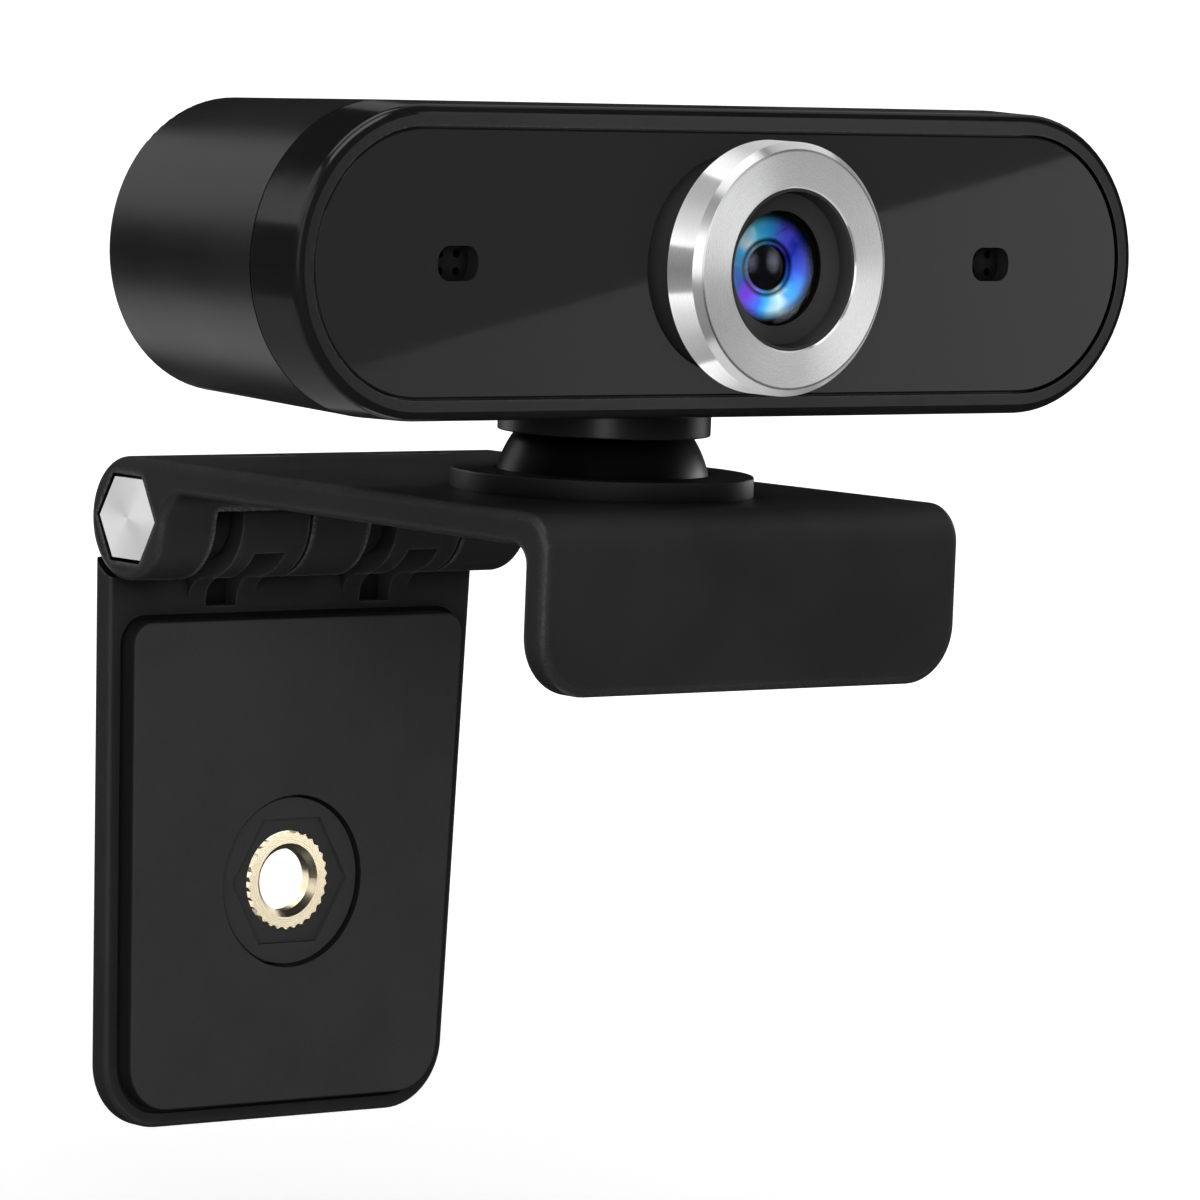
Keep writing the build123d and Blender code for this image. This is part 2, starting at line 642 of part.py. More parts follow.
def tilt_nut():
    hexagon = RegularPolygon(STUD_NUT_AF / 2, 6, major_radius=False)
    nut = Pos(0, 0, WASHER_TOP_Z) * extrude(hexagon, STUD_NUT_T)
    return nut - upright_bar(STUD_R + PRESS_GAP, WASHER_TOP_Z, STUD_TOP_Z)


def shell_outside():
    shell = drafted_block(SEAM_W, SEAM_H, SEAM_Y, REAR_W, REAR_H, REAR_Y)
    return fillet(shell.faces().sort_by(Axis.Y)[-1].edges(), REAR_EDGE_R)


def shell_inside():
    lift = 2 * WALL
    return drafted_block(SEAM_W - lift, SEAM_H - lift, SEAM_Y, REAR_W - lift, REAR_H - lift, REAR_Y - WALL)


def neck_collar():
    """Collar with a ball seat below and a spigot that passes up into the head."""
    ring = upright_bar(COLLAR_R, COLLAR_BOTTOM_Z, HEAD_Z)
    ring = fillet(ring.edges().group_by(Axis.Z)[0], COLLAR_EDGE_R)
    ring -= drafted_block(SEAM_W, SEAM_H, SEAM_Y, REAR_W, REAR_H, REAR_Y)
    neck = ring + upright_bar(SPIGOT_R, COLLAR_BOTTOM_Z + COLLAR_EDGE_R, NECK_PAD_Z - SPIGOT_GAP)
    neck -= ball(BALL_R + SEAT_GAP)
    return neck - upright_bar(STUD_R + STUD_GAP, COLLAR_BOTTOM_Z, NECK_PAD_Z)


def board_screw_places():
    heights = (HEAD_Z - BOARD_SCREW_Z, HEAD_Z + BOARD_SCREW_Z)
    return [(x, z) for x in (-BOARD_SCREW_X, BOARD_SCREW_X) for z in heights]


def rear_shell():
    outside = shell_outside()
    inside = shell_inside()
    shell = outside - inside
    floor_pad = upright_bar(NECK_PAD_R, COLLAR_BOTTOM_Z, NECK_PAD_Z) & outside
    shell += floor_pad
    for x, z in board_screw_places():
        boss = round_bar(SCREW_HOLE_R + BOSS_WALL, REAR_Y - WALL, BOARD_BACK_Y, x, z)
        boss -= round_bar(SCREW_HOLE_R, BOARD_BACK_Y + BOSS_HOLE_DEPTH, BOARD_BACK_Y, x, z)
        shell += boss
    shell -= upright_bar(SPIGOT_R + SPIGOT_GAP, COLLAR_BOTTOM_Z, NECK_PAD_Z)
    return shell - round_bar(GLAND_NECK_R + GLAND_HOLE_GAP, REAR_Y, REAR_Y - 2 * WALL)


def front_bezel():
    front_w = SEAM_W - 2 * BEZEL_DRAFT
    front_h = SEAM_H - 2 * BEZEL_DRAFT
    groove_y = SEAM_Y - SEAM_GROOVE
    frame = drafted_block(front_w, front_h, FRONT_Y, SEAM_W, SEAM_H, groove_y)
    frame = fillet(frame.faces().sort_by(Axis.Y)[0].edges(), BEZEL_EDGE_R)
    groove = 2 * SEAM_GROOVE + WALL
    frame += oblong_block(SEAM_W - groove, SEAM_H - groove, SEAM_Y, groove_y)
    room = 2 * (WALL + TONGUE_GAP)
    tongue = oblong_block(SEAM_W - room, SEAM_H - room, SEAM_Y + TONGUE_LENGTH, groove_y)
    tongue = tongue & shell_tongue_room()
    frame += tongue
    seat_w = PANEL_W + 2 * PANEL_GAP
    seat_h = PANEL_H + 2 * PANEL_GAP
    frame -= oblong_block(seat_w, seat_h, PANEL_BACK_Y, FRONT_Y)
    ledge_back = PANEL_BACK_Y + LEDGE_T
    frame -= oblong_block(PANEL_W - 2 * LEDGE_W, PANEL_H - 2 * LEDGE_W, ledge_back, PANEL_BACK_Y)
    hollow = 2 * (WALL + TONGUE_GAP + TONGUE_T)
    return frame - oblong_block(SEAM_W - hollow, SEAM_H - hollow, SEAM_Y + TONGUE_LENGTH, ledge_back)


def shell_tongue_room():
    """Tapered room inside the back shell that the bezel's tongue must stay within."""
    lift = 2 * (WALL + TONGUE_GAP)
    taper = drafted_block(SEAM_W - lift, SEAM_H - lift, SEAM_Y, REAR_W - lift, REAR_H - lift, REAR_Y - WALL)
    return taper + oblong_block(SEAM_W, SEAM_H, SEAM_Y, FRONT_Y)


def mic_places():
    return [-MIC_X, MIC_X]


def front_panel():
    panel = oblong_block(PANEL_W, PANEL_H, PANEL_BACK_Y, PANEL_FRONT_Y)
    panel = chamfer(panel.faces().sort_by(Axis.Y)[0].edges(), PANEL_INSET)
    for x in mic_places():
        port = across(PANEL_BACK_Y, x) * RectangleRounded(MIC_PORT_W, MIC_PORT_H, MIC_PORT_R)
        panel -= extrude(port, PANEL_T)
    return panel - round_bar(SURROUND_SPIGOT_R + RUNNING_FIT, PANEL_BACK_Y, PANEL_FRONT_Y)


def mic_grille(x):
    back = PANEL_BACK_Y + GRILLE_T
    plate = extrude(across(back, x) * RectangleRounded(GRILLE_W, GRILLE_H, MIC_PORT_R), GRILLE_T)
    for sx in (-1, 1):
        for sz in (-1, 1):
            hole_x = x + sx * GRILLE_PITCH_X / 2
            hole_z = HEAD_Z + sz * GRILLE_PITCH_Z / 2
            plate -= round_bar(GRILLE_HOLE_R, back, PANEL_BACK_Y, hole_x, hole_z)
    return plate


def mic_boot(x):
    front = PANEL_BACK_Y + GRILLE_T
    back = front + BOOT_LENGTH
    boot = round_bar(CAPSULE_R + BOOT_FIT + BOOT_WALL, back, front, x)
    boot -= round_bar(CAPSULE_R + BOOT_FIT, back, front + BOOT_FLOOR, x)
    return boot - round_bar(BOOT_PORT_R, front + BOOT_FLOOR, front, x)


def mic_capsule(x):
    front = PANEL_BACK_Y + GRILLE_T + BOOT_FLOOR
    return round_bar(CAPSULE_R, front + CAPSULE_LENGTH, front, x)


def lens_surround():
    """Black surround with a spigot through the panel and a journal that carries the focus ring."""
    bore = BARREL_HEAD_R + BARREL_HEAD_GAP
    return turned_on_lens([
        (PANEL_FRONT_Y, SURROUND_R),
        (SURROUND_FRONT_Y + SURROUND_EDGE, SURROUND_R),
        (SURROUND_FRONT_Y, SURROUND_R - SURROUND_EDGE),
        (SURROUND_FRONT_Y, JOURNAL_R),
        (JOURNAL_TIP_Y, JOURNAL_R),
        (JOURNAL_TIP_Y, bore),
        (SURROUND_BACK_Y, bore),
        (SURROUND_BACK_Y, SURROUND_SPIGOT_R),
        (PANEL_FRONT_Y, SURROUND_SPIGOT_R),
    ])


def focus_ring():
    step_y = JOURNAL_TIP_Y - JOURNAL_END_GAP
    return turned_on_lens([
        (RING_FRONT_Y, RING_R - RING_FRONT_BEVEL - RING_LINE_W),
        (RING_FRONT_Y + RING_LINE_DROP, RING_R - RING_FRONT_BEVEL),
        (RING_FRONT_Y + RING_LINE_DROP + RING_FRONT_BEVEL, RING_R),
        (RING_BACK_Y - RING_BACK_BEVEL, RING_R),
        (RING_BACK_Y, RING_R - RING_BACK_BEVEL),
        (RING_BACK_Y, JOURNAL_R + RUNNING_FIT),
        (step_y, JOURNAL_R + RUNNING_FIT),
        (step_y, RING_BORE_R),
        (RING_FRONT_Y + RING_INNER_BEVEL, RING_BORE_R),
        (RING_FRONT_Y, RING_BORE_R + RING_INNER_BEVEL),
    ])


def lens_shade():
    outer = RING_BORE_R - PRESS_GAP
    lip_y = RING_FRONT_Y + RING_INNER_BEVEL
    face_y = RING_FRONT_Y + SHADE_DEPTH
    return turned_on_lens([
        (lip_y, outer),
        (lip_y, outer - SHADE_WALL),
        (face_y, outer - SHADE_WALL - SHADE_CONE),
        (face_y + SHADE_RISE, SHADE_BORE_R),
        (SHADE_BACK_Y, SHADE_BORE_R),
        (SHADE_BACK_Y, outer),
    ])


def lens_barrel():
    stop_bore = STOP_R + GLASS_FIT
    inner_bore = INNER_GLASS_R + GLASS_FIT
    rear_bore = REAR_GLASS_R + GLASS_FIT
    front_bore = FRONT_GLASS_R + GLASS_FIT
    return turned_on_lens([
        (BARREL_FRONT_Y, BARREL_HEAD_R),
        (BARREL_STEP_Y, BARREL_HEAD_R),
        (BARREL_STEP_Y, BARREL_THREAD_R),
        (BARREL_BACK_Y, BARREL_THREAD_R),
        (BARREL_BACK_Y, rear_bore),
        (REAR_GLASS_FRONT_Y, rear_bore),
        (REAR_GLASS_FRONT_Y, inner_bore),
        (STOP_BACK_Y, inner_bore),
        (STOP_BACK_Y, stop_bore),
        (GLASS_SEAT_Y, stop_bore),
        (GLASS_SEAT_Y, front_bore),
        (BARREL_FRONT_Y, front_bore),
    ])


def front_lens():
    """Flat-backed front element."""
    glass = round_bar(FRONT_GLASS_R, GLASS_SEAT_Y, GLASS_APEX_Y)
    return glass & lens_ball(FRONT_GLASS_CURVE_R, GLASS_APEX_Y + FRONT_GLASS_CURVE_R)


def aperture_stop():
    disc = round_bar(STOP_R, STOP_BACK_Y, STOP_BACK_Y - STOP_T)
    return disc - round_bar(STOP_BORE_R, STOP_BACK_Y, STOP_BACK_Y - STOP_T)


def inner_lens():
    back_y = STOP_BACK_Y + INNER_GLASS_T
    glass = round_bar(INNER_GLASS_R, back_y, STOP_BACK_Y)
    glass = glass & lens_ball(INNER_GLASS_CURVE_R, STOP_BACK_Y + INNER_GLASS_CURVE_R)
    return glass & lens_ball(INNER_GLASS_CURVE_R, back_y - INNER_GLASS_CURVE_R)


def rear_lens():
    glass = round_bar(REAR_GLASS_R, REAR_GLASS_BACK_Y, REAR_GLASS_FRONT_Y)
    return glass & lens_ball(REAR_GLASS_CURVE_R, REAR_GLASS_BACK_Y - REAR_GLASS_CURVE_R)


def main_board():
    half = BOARD_W / 2
    notch = STUD_NUT_AF / 2 / cos(radians(30)) + BOARD_NOTCH_GAP
    depth = (BOARD_FRONT_Y, BOARD_BACK_Y)
    board = block((-half, half), depth, (BOARD_BOTTOM_Z, BOARD_TOP_Z))
    board -= block((-notch, notch), depth, (BOARD_BOTTOM_Z, NOTCH_TOP_Z))
    for x, z in board_screw_places():
        board -= round_bar(SCREW_HOLE_R, BOARD_BACK_Y, BOARD_FRONT_Y, x, z)
    for x in (-HOLDER_SCREW_X, HOLDER_SCREW_X):
        board -= round_bar(SCREW_HOLE_R, BOARD_BACK_Y, BOARD_FRONT_Y, x)
    return board


def board_screw(x, z):
    head = round_bar(SCREW_HEAD_R, BOARD_FRONT_Y, BOARD_FRONT_Y - SCREW_HEAD_T, x, z)
    return head + round_bar(SCREW_R, BOARD_FRONT_Y + SCREW_LENGTH, BOARD_FRONT_Y, x, z)


def holder_screw(x):
    head = round_bar(SCREW_HEAD_R, BOARD_BACK_Y + SCREW_HEAD_T, BOARD_BACK_Y, x)
    return head + round_bar(SCREW_R, BOARD_BACK_Y, BOARD_BACK_Y - HOLDER_SCREW_LENGTH, x)


def lens_holder():
    """Screw mount for the lens: flanged base on the board, tube for the barrel, room for the sensor."""
    base_front = BOARD_FRONT_Y - HOLDER_BASE_T
    half = HOLDER_W / 2
    base_z = (NOTCH_TOP_Z + HOLDER_LOW_GAP, HEAD_Z + HOLDER_RISE)
    bore = BARREL_THREAD_R + RUNNING_FIT
    holder = block((-half, half), (base_front, BOARD_FRONT_Y), base_z)
    holder += round_bar(bore + HOLDER_TUBE_WALL, base_front, HOLDER_FRONT_Y)
    room_front = BOARD_FRONT_Y - SENSOR_ROOM_DEPTH
    room = across(BOARD_FRONT_Y) * Rectangle(SENSOR_ROOM, SENSOR_ROOM)
    holder -= extrude(room, SENSOR_ROOM_DEPTH)
    window = across(room_front) * Rectangle(WINDOW_SIZE, WINDOW_SIZE)
    holder -= extrude(window, WINDOW_T)
    holder -= round_bar(bore, FILTER_BACK_Y, HOLDER_FRONT_Y)
    for x in (-HOLDER_SCREW_X, HOLDER_SCREW_X):
        holder -= round_bar(SCREW_HOLE_R, BOARD_FRONT_Y, base_front, x)
    return holder


def image_sensor():
    return extrude(across(BOARD_FRONT_Y) * Rectangle(SENSOR_SIZE, SENSOR_SIZE), SENSOR_T)


def infrared_filter():
    return extrude(across(FILTER_BACK_Y) * Rectangle(FILTER_SIZE, FILTER_SIZE), FILTER_T)


def clock_crystal():
    x = CHIP_X - CHIP_SIZE / 2 - CRYSTAL_GAP - CRYSTAL_W / 2
    return on_board_back(x, HEAD_Z, CRYSTAL_W, CRYSTAL_H, CRYSTAL_T)


def on_board_back(x, z, width, height, depth):
    return extrude(across(BOARD_BACK_Y + depth, x, z) * Rectangle(width, height), depth)


def cable_header():
    header = on_board_back(HEADER_X, HEAD_Z, HEADER_W, HEADER_H, HEADER_DEPTH)
    inside_w = HEADER_W - 2 * HEADER_WALL
    inside_h = HEADER_H - 2 * HEADER_WALL
    inside = on_board_back(HEADER_X, HEAD_Z, inside_w, inside_h, HEADER_DEPTH)
    return header - Pos(0, HEADER_WALL, 0) * inside


def board_passives():
    chip_x = CHIP_X + CHIP_SIZE / 2 + PASSIVE_GAP
    header_x = HEADER_X - HEADER_W / 2 - PASSIVE_GAP
    places = [(chip_x, HEAD_Z + n * PASSIVE_PITCH) for n in (-2, -1, 0, 1, 2)]
    places += [(header_x, HEAD_Z + n * PASSIVE_PITCH) for n in (-1, 0, 1)]
    return [on_board_back(x, z, PASSIVE_L, PASSIVE_W, PASSIVE_T) for x, z in places]


def cable_gland():
    """Grommet that grips the back wall and guides the lead out; its bore is empty."""
    inner = REAR_Y - WALL
    return turned_on_lens([
        (inner - GLAND_FLANGE_T, GLAND_BORE_R),
        (inner - GLAND_FLANGE_T, GLAND_FLANGE_R),
        (inner, GLAND_FLANGE_R),
        (inner, GLAND_NECK_R),
        (REAR_Y, GLAND_NECK_R),
        (REAR_Y, GLAND_NOSE_R),
        (REAR_Y + GLAND_NOSE_LENGTH, GLAND_NOSE_TIP_R),
        (REAR_Y + GLAND_NOSE_LENGTH, GLAND_BORE_R),
    ])


os.makedirs("parts", exist_ok=True)

# Clip
save("clip_bracket", clip_bracket())
save("swivel_flange", swivel_flange())
save("hinge_bolt", hinge_bolt())
save("hinge_nut", hinge_nut())
save("friction_sleeves", *[friction_sleeve(x) for x in finger_places()])

# Leg
save("clip_leg", clip_leg())
save("leg_pad", leg_pad())
save("tripod_insert", tripod_insert())

# Swivel and tilt clamp
save("swivel_dome", swivel_dome())
save("neck_collar", neck_collar())
save("tilt_cup", tilt_cup())
save("tilt_spring", tilt_spring())
save("tilt_stud", tilt_stud())
save("neck_washer", neck_washer())
save("tilt_nut", tilt_nut())

# Head
save("rear_shell", rear_shell())
save("front_bezel", front_bezel())
save("front_panel", front_panel())
save("mic_grilles", *[mic_grille(x) for x in mic_places()])
save("mic_boots", *[mic_boot(x) for x in mic_places()])
save("mic_capsules", *[mic_capsule(x) for x in mic_places()])
save("cable_gland", cable_gland())
save("main_board", main_board())
save("board_screws", *[board_screw(x, z) for x, z in board_screw_places()])
save("lens_holder", lens_holder())
save("holder_screws", holder_screw(-HOLDER_SCREW_X), holder_screw(HOLDER_SCREW_X))
save("image_sensor", image_sensor())
save("infrared_filter", infrared_filter())
save("video_chip", on_board_back(CHIP_X, HEAD_Z, CHIP_SIZE, CHIP_SIZE, CHIP_T))
save("clock_crystal", clock_crystal())
save("cable_header", cable_header())
save("board_passives", *board_passives())

# Lens
save("lens_surround", lens_surround())
save("focus_ring", focus_ring())
save("lens_shade", lens_shade())
save("lens_barrel", lens_barrel())
save("front_lens", front_lens())
save("aperture_stop", aperture_stop())
save("inner_lens", inner_lens())
save("rear_lens", rear_lens())
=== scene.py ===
import math

import bmesh
import bpy
from mathutils import Matrix, Vector


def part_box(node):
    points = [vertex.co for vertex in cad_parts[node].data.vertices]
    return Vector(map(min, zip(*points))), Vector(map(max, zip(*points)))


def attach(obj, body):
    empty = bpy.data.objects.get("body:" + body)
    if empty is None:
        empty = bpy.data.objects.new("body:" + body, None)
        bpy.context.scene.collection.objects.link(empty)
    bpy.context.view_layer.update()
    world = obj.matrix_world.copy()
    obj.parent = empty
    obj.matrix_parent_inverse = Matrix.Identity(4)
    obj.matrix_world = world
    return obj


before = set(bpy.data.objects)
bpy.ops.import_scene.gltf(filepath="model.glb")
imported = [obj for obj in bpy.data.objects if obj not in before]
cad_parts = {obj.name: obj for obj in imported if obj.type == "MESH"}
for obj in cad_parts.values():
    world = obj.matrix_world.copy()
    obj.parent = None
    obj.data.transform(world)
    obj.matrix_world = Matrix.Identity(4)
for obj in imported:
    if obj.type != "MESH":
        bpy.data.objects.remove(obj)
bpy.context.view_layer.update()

# ------------------------------------------------------------------ clip bracket
# The bracket that hangs on the monitor's top edge: top plate, front jaw and hinge barrel in one
# moulding of black glass-filled plastic. Its tool was spark-eroded, so the skin has a fine satin
# grain, polished a little where hands and monitor edges rub its corners. Its corners are also
# painted lighter as a highlight, and its recesses painted darker as shade.


def place(tree, kind, joins=None, **settings):
    """One shader node, with its settings, each named socket given a value or joined to another socket."""
    node = tree.nodes.new("ShaderNode" + kind)
    for name, value in settings.items():
        setattr(node, name, value)
    for socket, value in (joins or {}).items():
        if isinstance(value, bpy.types.NodeSocket):
            tree.links.new(value, node.inputs[socket])
        else:
            node.inputs[socket].default_value = value
    return node


def sum_of(tree, operation, first, second=0.5, third=0.5):
    """One step of arithmetic, as its output socket."""
    return place(tree, "Math", {0: first, 1: second, 2: third}, operation=operation).outputs[0]


def mixed(tree, share, first, second, way="MIX"):
    """Two colours mixed by a share, as its output socket."""
    return place(tree, "Mix", {0: share, 6: first, 7: second}, data_type="RGBA", blend_type=way).outputs[2]


def spread(tree, value, low, high, new_low, new_high):
    """A value carried from one range to another and kept inside it."""
    joins = {"Value": value, 1: low, 2: high, 3: new_low, 4: new_high}
    return place(tree, "MapRange", joins).outputs[0]


def blotched(tree, noise, new_low, new_high):
    """A noise pattern, from its usual darkest to its usual brightest, carried to another range."""
    return spread(tree, noise.outputs["Fac"], 0.3, 0.7, new_low, new_high)


def effect(name, takes, gives):
    """A new effect group with these named inputs and outputs."""
    kinds = {"value": "NodeSocketFloat", "colour": "NodeSocketColor", "place": "NodeSocketVector"}
    tree = bpy.data.node_groups.new(name, "ShaderNodeTree")
    for label, kind in takes.items():
        tree.interface.new_socket(label, in_out="INPUT", socket_type=kinds[kind])
    for label, kind in gives.items():
        tree.interface.new_socket(label, in_out="OUTPUT", socket_type=kinds[kind])
    return tree, tree.nodes.new("NodeGroupInput").outputs, tree.nodes.new("NodeGroupOutput").inputs


# the skin of a moulding: spark-eroded grain, cloudy sheen, recesses painted darker as shade, and open corners
# rubbed smoother and painted brighter as a highlight
moulded_skin, given, made = effect(
    "moulded_skin",
    {
        "Place": "place", "Colour": "colour", "Corner": "colour",
        "Roughness": "value", "Grain": "value", "Width": "value",
    },
    {"Colour": "colour", "Roughness": "value", "Height": "value"},
)
tree, spot = moulded_skin, given["Place"]
fine = place(tree, "TexNoise", {"Vector": spot, "Scale": given["Grain"], "Detail": 3.0, "Roughness": 0.6})
pit_grain = sum_of(tree, "MULTIPLY", given["Grain"], 0.7)
pits = place(tree, "TexVoronoi", {"Vector": spot, "Scale": pit_grain})
cloud = place(tree, "TexNoise", {"Vector": spot, "Scale": 70.0, "Detail": 3.0})
height = sum_of(tree, "MULTIPLY_ADD", pits.outputs["Distance"], 0.6, fine.outputs["Fac"])

rounded = place(tree, "Bevel", {"Radius": given["Width"]}, samples=6).outputs[0]
facing = place(tree, "NewGeometry").outputs["Normal"]
turn = place(tree, "VectorMath", {0: rounded, 1: facing}, operation="DOT_PRODUCT").outputs["Value"]
flat_cosine, corner_cosine = 0.993, 0.88
corner = spread(tree, turn, flat_cosine, corner_cosine, 0.0, 1.0)
speckle = spread(tree, fine.outputs["Fac"], 0.42, 0.62, 0.1, 1.0)
open_air = place(tree, "AmbientOcclusion", {"Distance": 0.003}, samples=6).outputs["AO"]
in_reach = spread(tree, open_air, 0.80, 0.97, 0.0, 1.0)
# open corners painted lighter: partly rubbing wear, partly a painted highlight along the edges
worn_and_highlit_corner = sum_of(tree, "MULTIPLY", sum_of(tree, "MULTIPLY", corner, speckle), in_reach)

# painted shade: the colour darkens where ambient occlusion finds a recess, a crease or a gap between parts
painted_recess_shade = spread(tree, open_air, 0.38, 0.92, 0.05, 1.0)
blotches_and_recess_shade = sum_of(tree, "MULTIPLY", blotched(tree, cloud, 0.86, 1.14), painted_recess_shade)
tone_with_painted_shade = place(tree, "HueSaturation", {"Color": given["Colour"], "Value": blotches_and_recess_shade}).outputs[0]
sheen = sum_of(tree, "ADD", given["Roughness"], blotched(tree, cloud, -0.04, 0.04))
rubbing_polish = -0.12
tree.links.new(mixed(tree, worn_and_highlit_corner, tone_with_painted_shade, given["Corner"]), made["Colour"])
tree.links.new(sum_of(tree, "MULTIPLY_ADD", worn_and_highlit_corner, rubbing_polish, sheen), made["Roughness"])
tree.links.new(height, made["Height"])


def finish(name):
    """An empty finish with its shader and the piece's own coordinates."""
    material = bpy.data.materials.new(name)
    material.use_nodes = True
    tree = material.node_tree
    return material, tree, tree.nodes["Principled BSDF"], place(tree, "TexCoord").outputs["Object"]


def dress(material, *names):
    """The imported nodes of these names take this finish."""
    for name in names:
        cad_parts[name].material_slots[0].material = material


def bumped(tree, shader, height, depth):
    """A shader's surface is raised by a pattern, this deep in metres."""
    bump = place(tree, "Bump", {"Height": height, "Strength": 1.0, "Distance": depth})
    tree.links.new(bump.outputs[0], shader.inputs["Normal"])


def wear(tree, shader, skin, depth):
    """A shader takes its colour, its roughness and its bumps, this deep in metres, from a skin."""
    tree.links.new(skin.outputs["Colour"], shader.inputs["Base Color"])
    tree.links.new(skin.outputs["Roughness"], shader.inputs["Roughness"])
    bumped(tree, shader, skin.outputs["Height"], depth)


def moulding(name, colour, corner, roughness, grain, depth, width=0.0004, specular=0.5):
    """A moulded plastic finish: grain is its number of pits to the metre, depth the pits' depth and width
    the width of its corners that are rubbed smoother and painted lighter as a highlight, both in metres."""
    material, tree, shader, spot = finish(name)
    joins = {
        "Place": spot, "Colour": (*colour, 1), "Corner": (*corner, 1),
        "Roughness": roughness, "Grain": grain, "Width": width,
    }
    wear(tree, shader, place(tree, "Group", joins, node_tree=moulded_skin), depth)
    shader.inputs["Specular IOR Level"].default_value = specular
    return material


clip_black = moulding(
    "clip_black", colour=(0.017, 0.017, 0.0172), corner=(0.11, 0.11, 0.111),
    roughness=0.42, grain=5200.0, depth=0.000012, width=0.0010, specular=0.32,
)
dress(clip_black, "clip_bracket")

# ------------------------------------------------------------------ folding leg
# The leg that swings down behind the monitor, moulded from the same black plastic as the bracket
# but in a second tool with a slightly smoother skin. Two fingers carry it on the hinge bolt, and
# the boss round its insert is moulded in a matt, paler pocket of the tool.


def centre_of(node):
    """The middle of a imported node's box."""
    low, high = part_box(node)
    return (low + high) / 2


leg_black = moulding(
    "leg_black", colour=(0.017, 0.017, 0.0172), corner=(0.075, 0.075, 0.076),
    roughness=0.40, grain=6000.0, depth=0.000010, width=0.0005, specular=0.30,
)
tree = leg_black.node_tree
insert_height = centre_of("tripod_insert").z
boss_radius, past_boss = 0.0074, 0.0075
boss_grey = (0.030, 0.030, 0.030, 1)
joins = {
    "Vector": place(tree, "TexCoord").outputs["Object"], "Location": (0, 0, -insert_height), "Scale": (1, 0, 1),
}
from_insert = place(tree, "Mapping", joins).outputs[0]
reach = place(tree, "VectorMath", {0: from_insert}, operation="LENGTH").outputs["Value"]
on_boss = spread(tree, reach, boss_radius, past_boss, 1.0, 0.0)
paint = tree.nodes["Principled BSDF"].inputs["Base Color"]
tree.links.new(mixed(tree, on_boss, paint.links[0].from_socket, boss_grey), paint)
dress(leg_black, "clip_leg")

# ------------------------------------------------------------------ rubber pad
# The soft pad that grips the back of the monitor: a die-cut sheet of black rubber, glued into a
# shallow seat in the leg. Its face is dead matt with a faint calendered grain, and its edge is painted darker as
# shade.

material, tree, shader, spot = finish("pad_rubber")
dusty_grey, clean_grey = (0.0285, 0.0285, 0.0282, 1), (0.0240, 0.0240, 0.0240, 1)
edge_shade_grey = (0.005, 0.005, 0.005, 1)
dust = place(tree, "TexNoise", {"Vector": spot, "Scale": 90.0, "Detail": 4.0, "Roughness": 0.7})
grit = place(tree, "TexNoise", {"Vector": spot, "Scale": 7000.0, "Detail": 2.0})
face = mixed(tree, blotched(tree, dust, 0.0, 1.0), clean_grey, dusty_grey)
facing = place(tree, "SeparateXYZ", {0: place(tree, "TexCoord").outputs["Normal"]})
# painted shade: where the pad's surface turns away from the front, towards its edge, it is coloured near black
painted_edge_shade = spread(tree, facing.outputs["Y"], -0.96, -0.70, 0.0, 1.0)
tree.links.new(mixed(tree, painted_edge_shade, face, edge_shade_grey), shader.inputs["Base Color"])
tree.links.new(blotched(tree, grit, 0.74, 0.90), shader.inputs["Roughness"])
bumped(tree, shader, grit.outputs["Fac"], 0.000012)
shader.inputs["Specular IOR Level"].default_value = 0.25
dress(material, "leg_pad")

# ------------------------------------------------------------------ tripod insert
# The knurled insert for a tripod screw, turned from brass bar and pressed into the leg while the
# plastic is hot. The tool leaves fine rings on its face and in its bore.

turned_metal, given, made = effect(
    "turned_metal",
    {"Place": "place", "Colour": "colour", "Shade": "colour", "Roughness": "value", "Lines": "value"},
    {"Colour": "colour", "Roughness": "value", "Height": "value"},
)
tree, spot = turned_metal, given["Place"]
flat = place(tree, "VectorMath", {0: spot, 1: (1.0, 1.0, 0.0)}, operation="MULTIPLY").outputs[0]
reach = place(tree, "VectorMath", {0: flat}, operation="LENGTH").outputs["Value"]
along = place(tree, "SeparateXYZ", {0: spot}).outputs["Z"]
travel = sum_of(tree, "MULTIPLY", sum_of(tree, "ADD", reach, along), given["Lines"])
joins = {"W": travel, "Scale": 1.0, "Detail": 4.0, "Roughness": 0.65}
lines = place(tree, "TexNoise", joins, noise_dimensions="1D")
smear = place(tree, "TexNoise", {"Vector": spot, "Scale": 260.0, "Detail": 3.0})
both = sum_of(tree, "MULTIPLY", lines.outputs["Fac"], smear.outputs["Fac"])
share = spread(tree, both, 0.12, 0.40, 0.0, 1.0)
tree.links.new(mixed(tree, share, given["Shade"], given["Colour"]), made["Colour"])
change = blotched(tree, lines, -0.05, 0.05)
tree.links.new(sum_of(tree, "ADD", given["Roughness"], change), made["Roughness"])
tree.links.new(lines.outputs["Fac"], made["Height"])


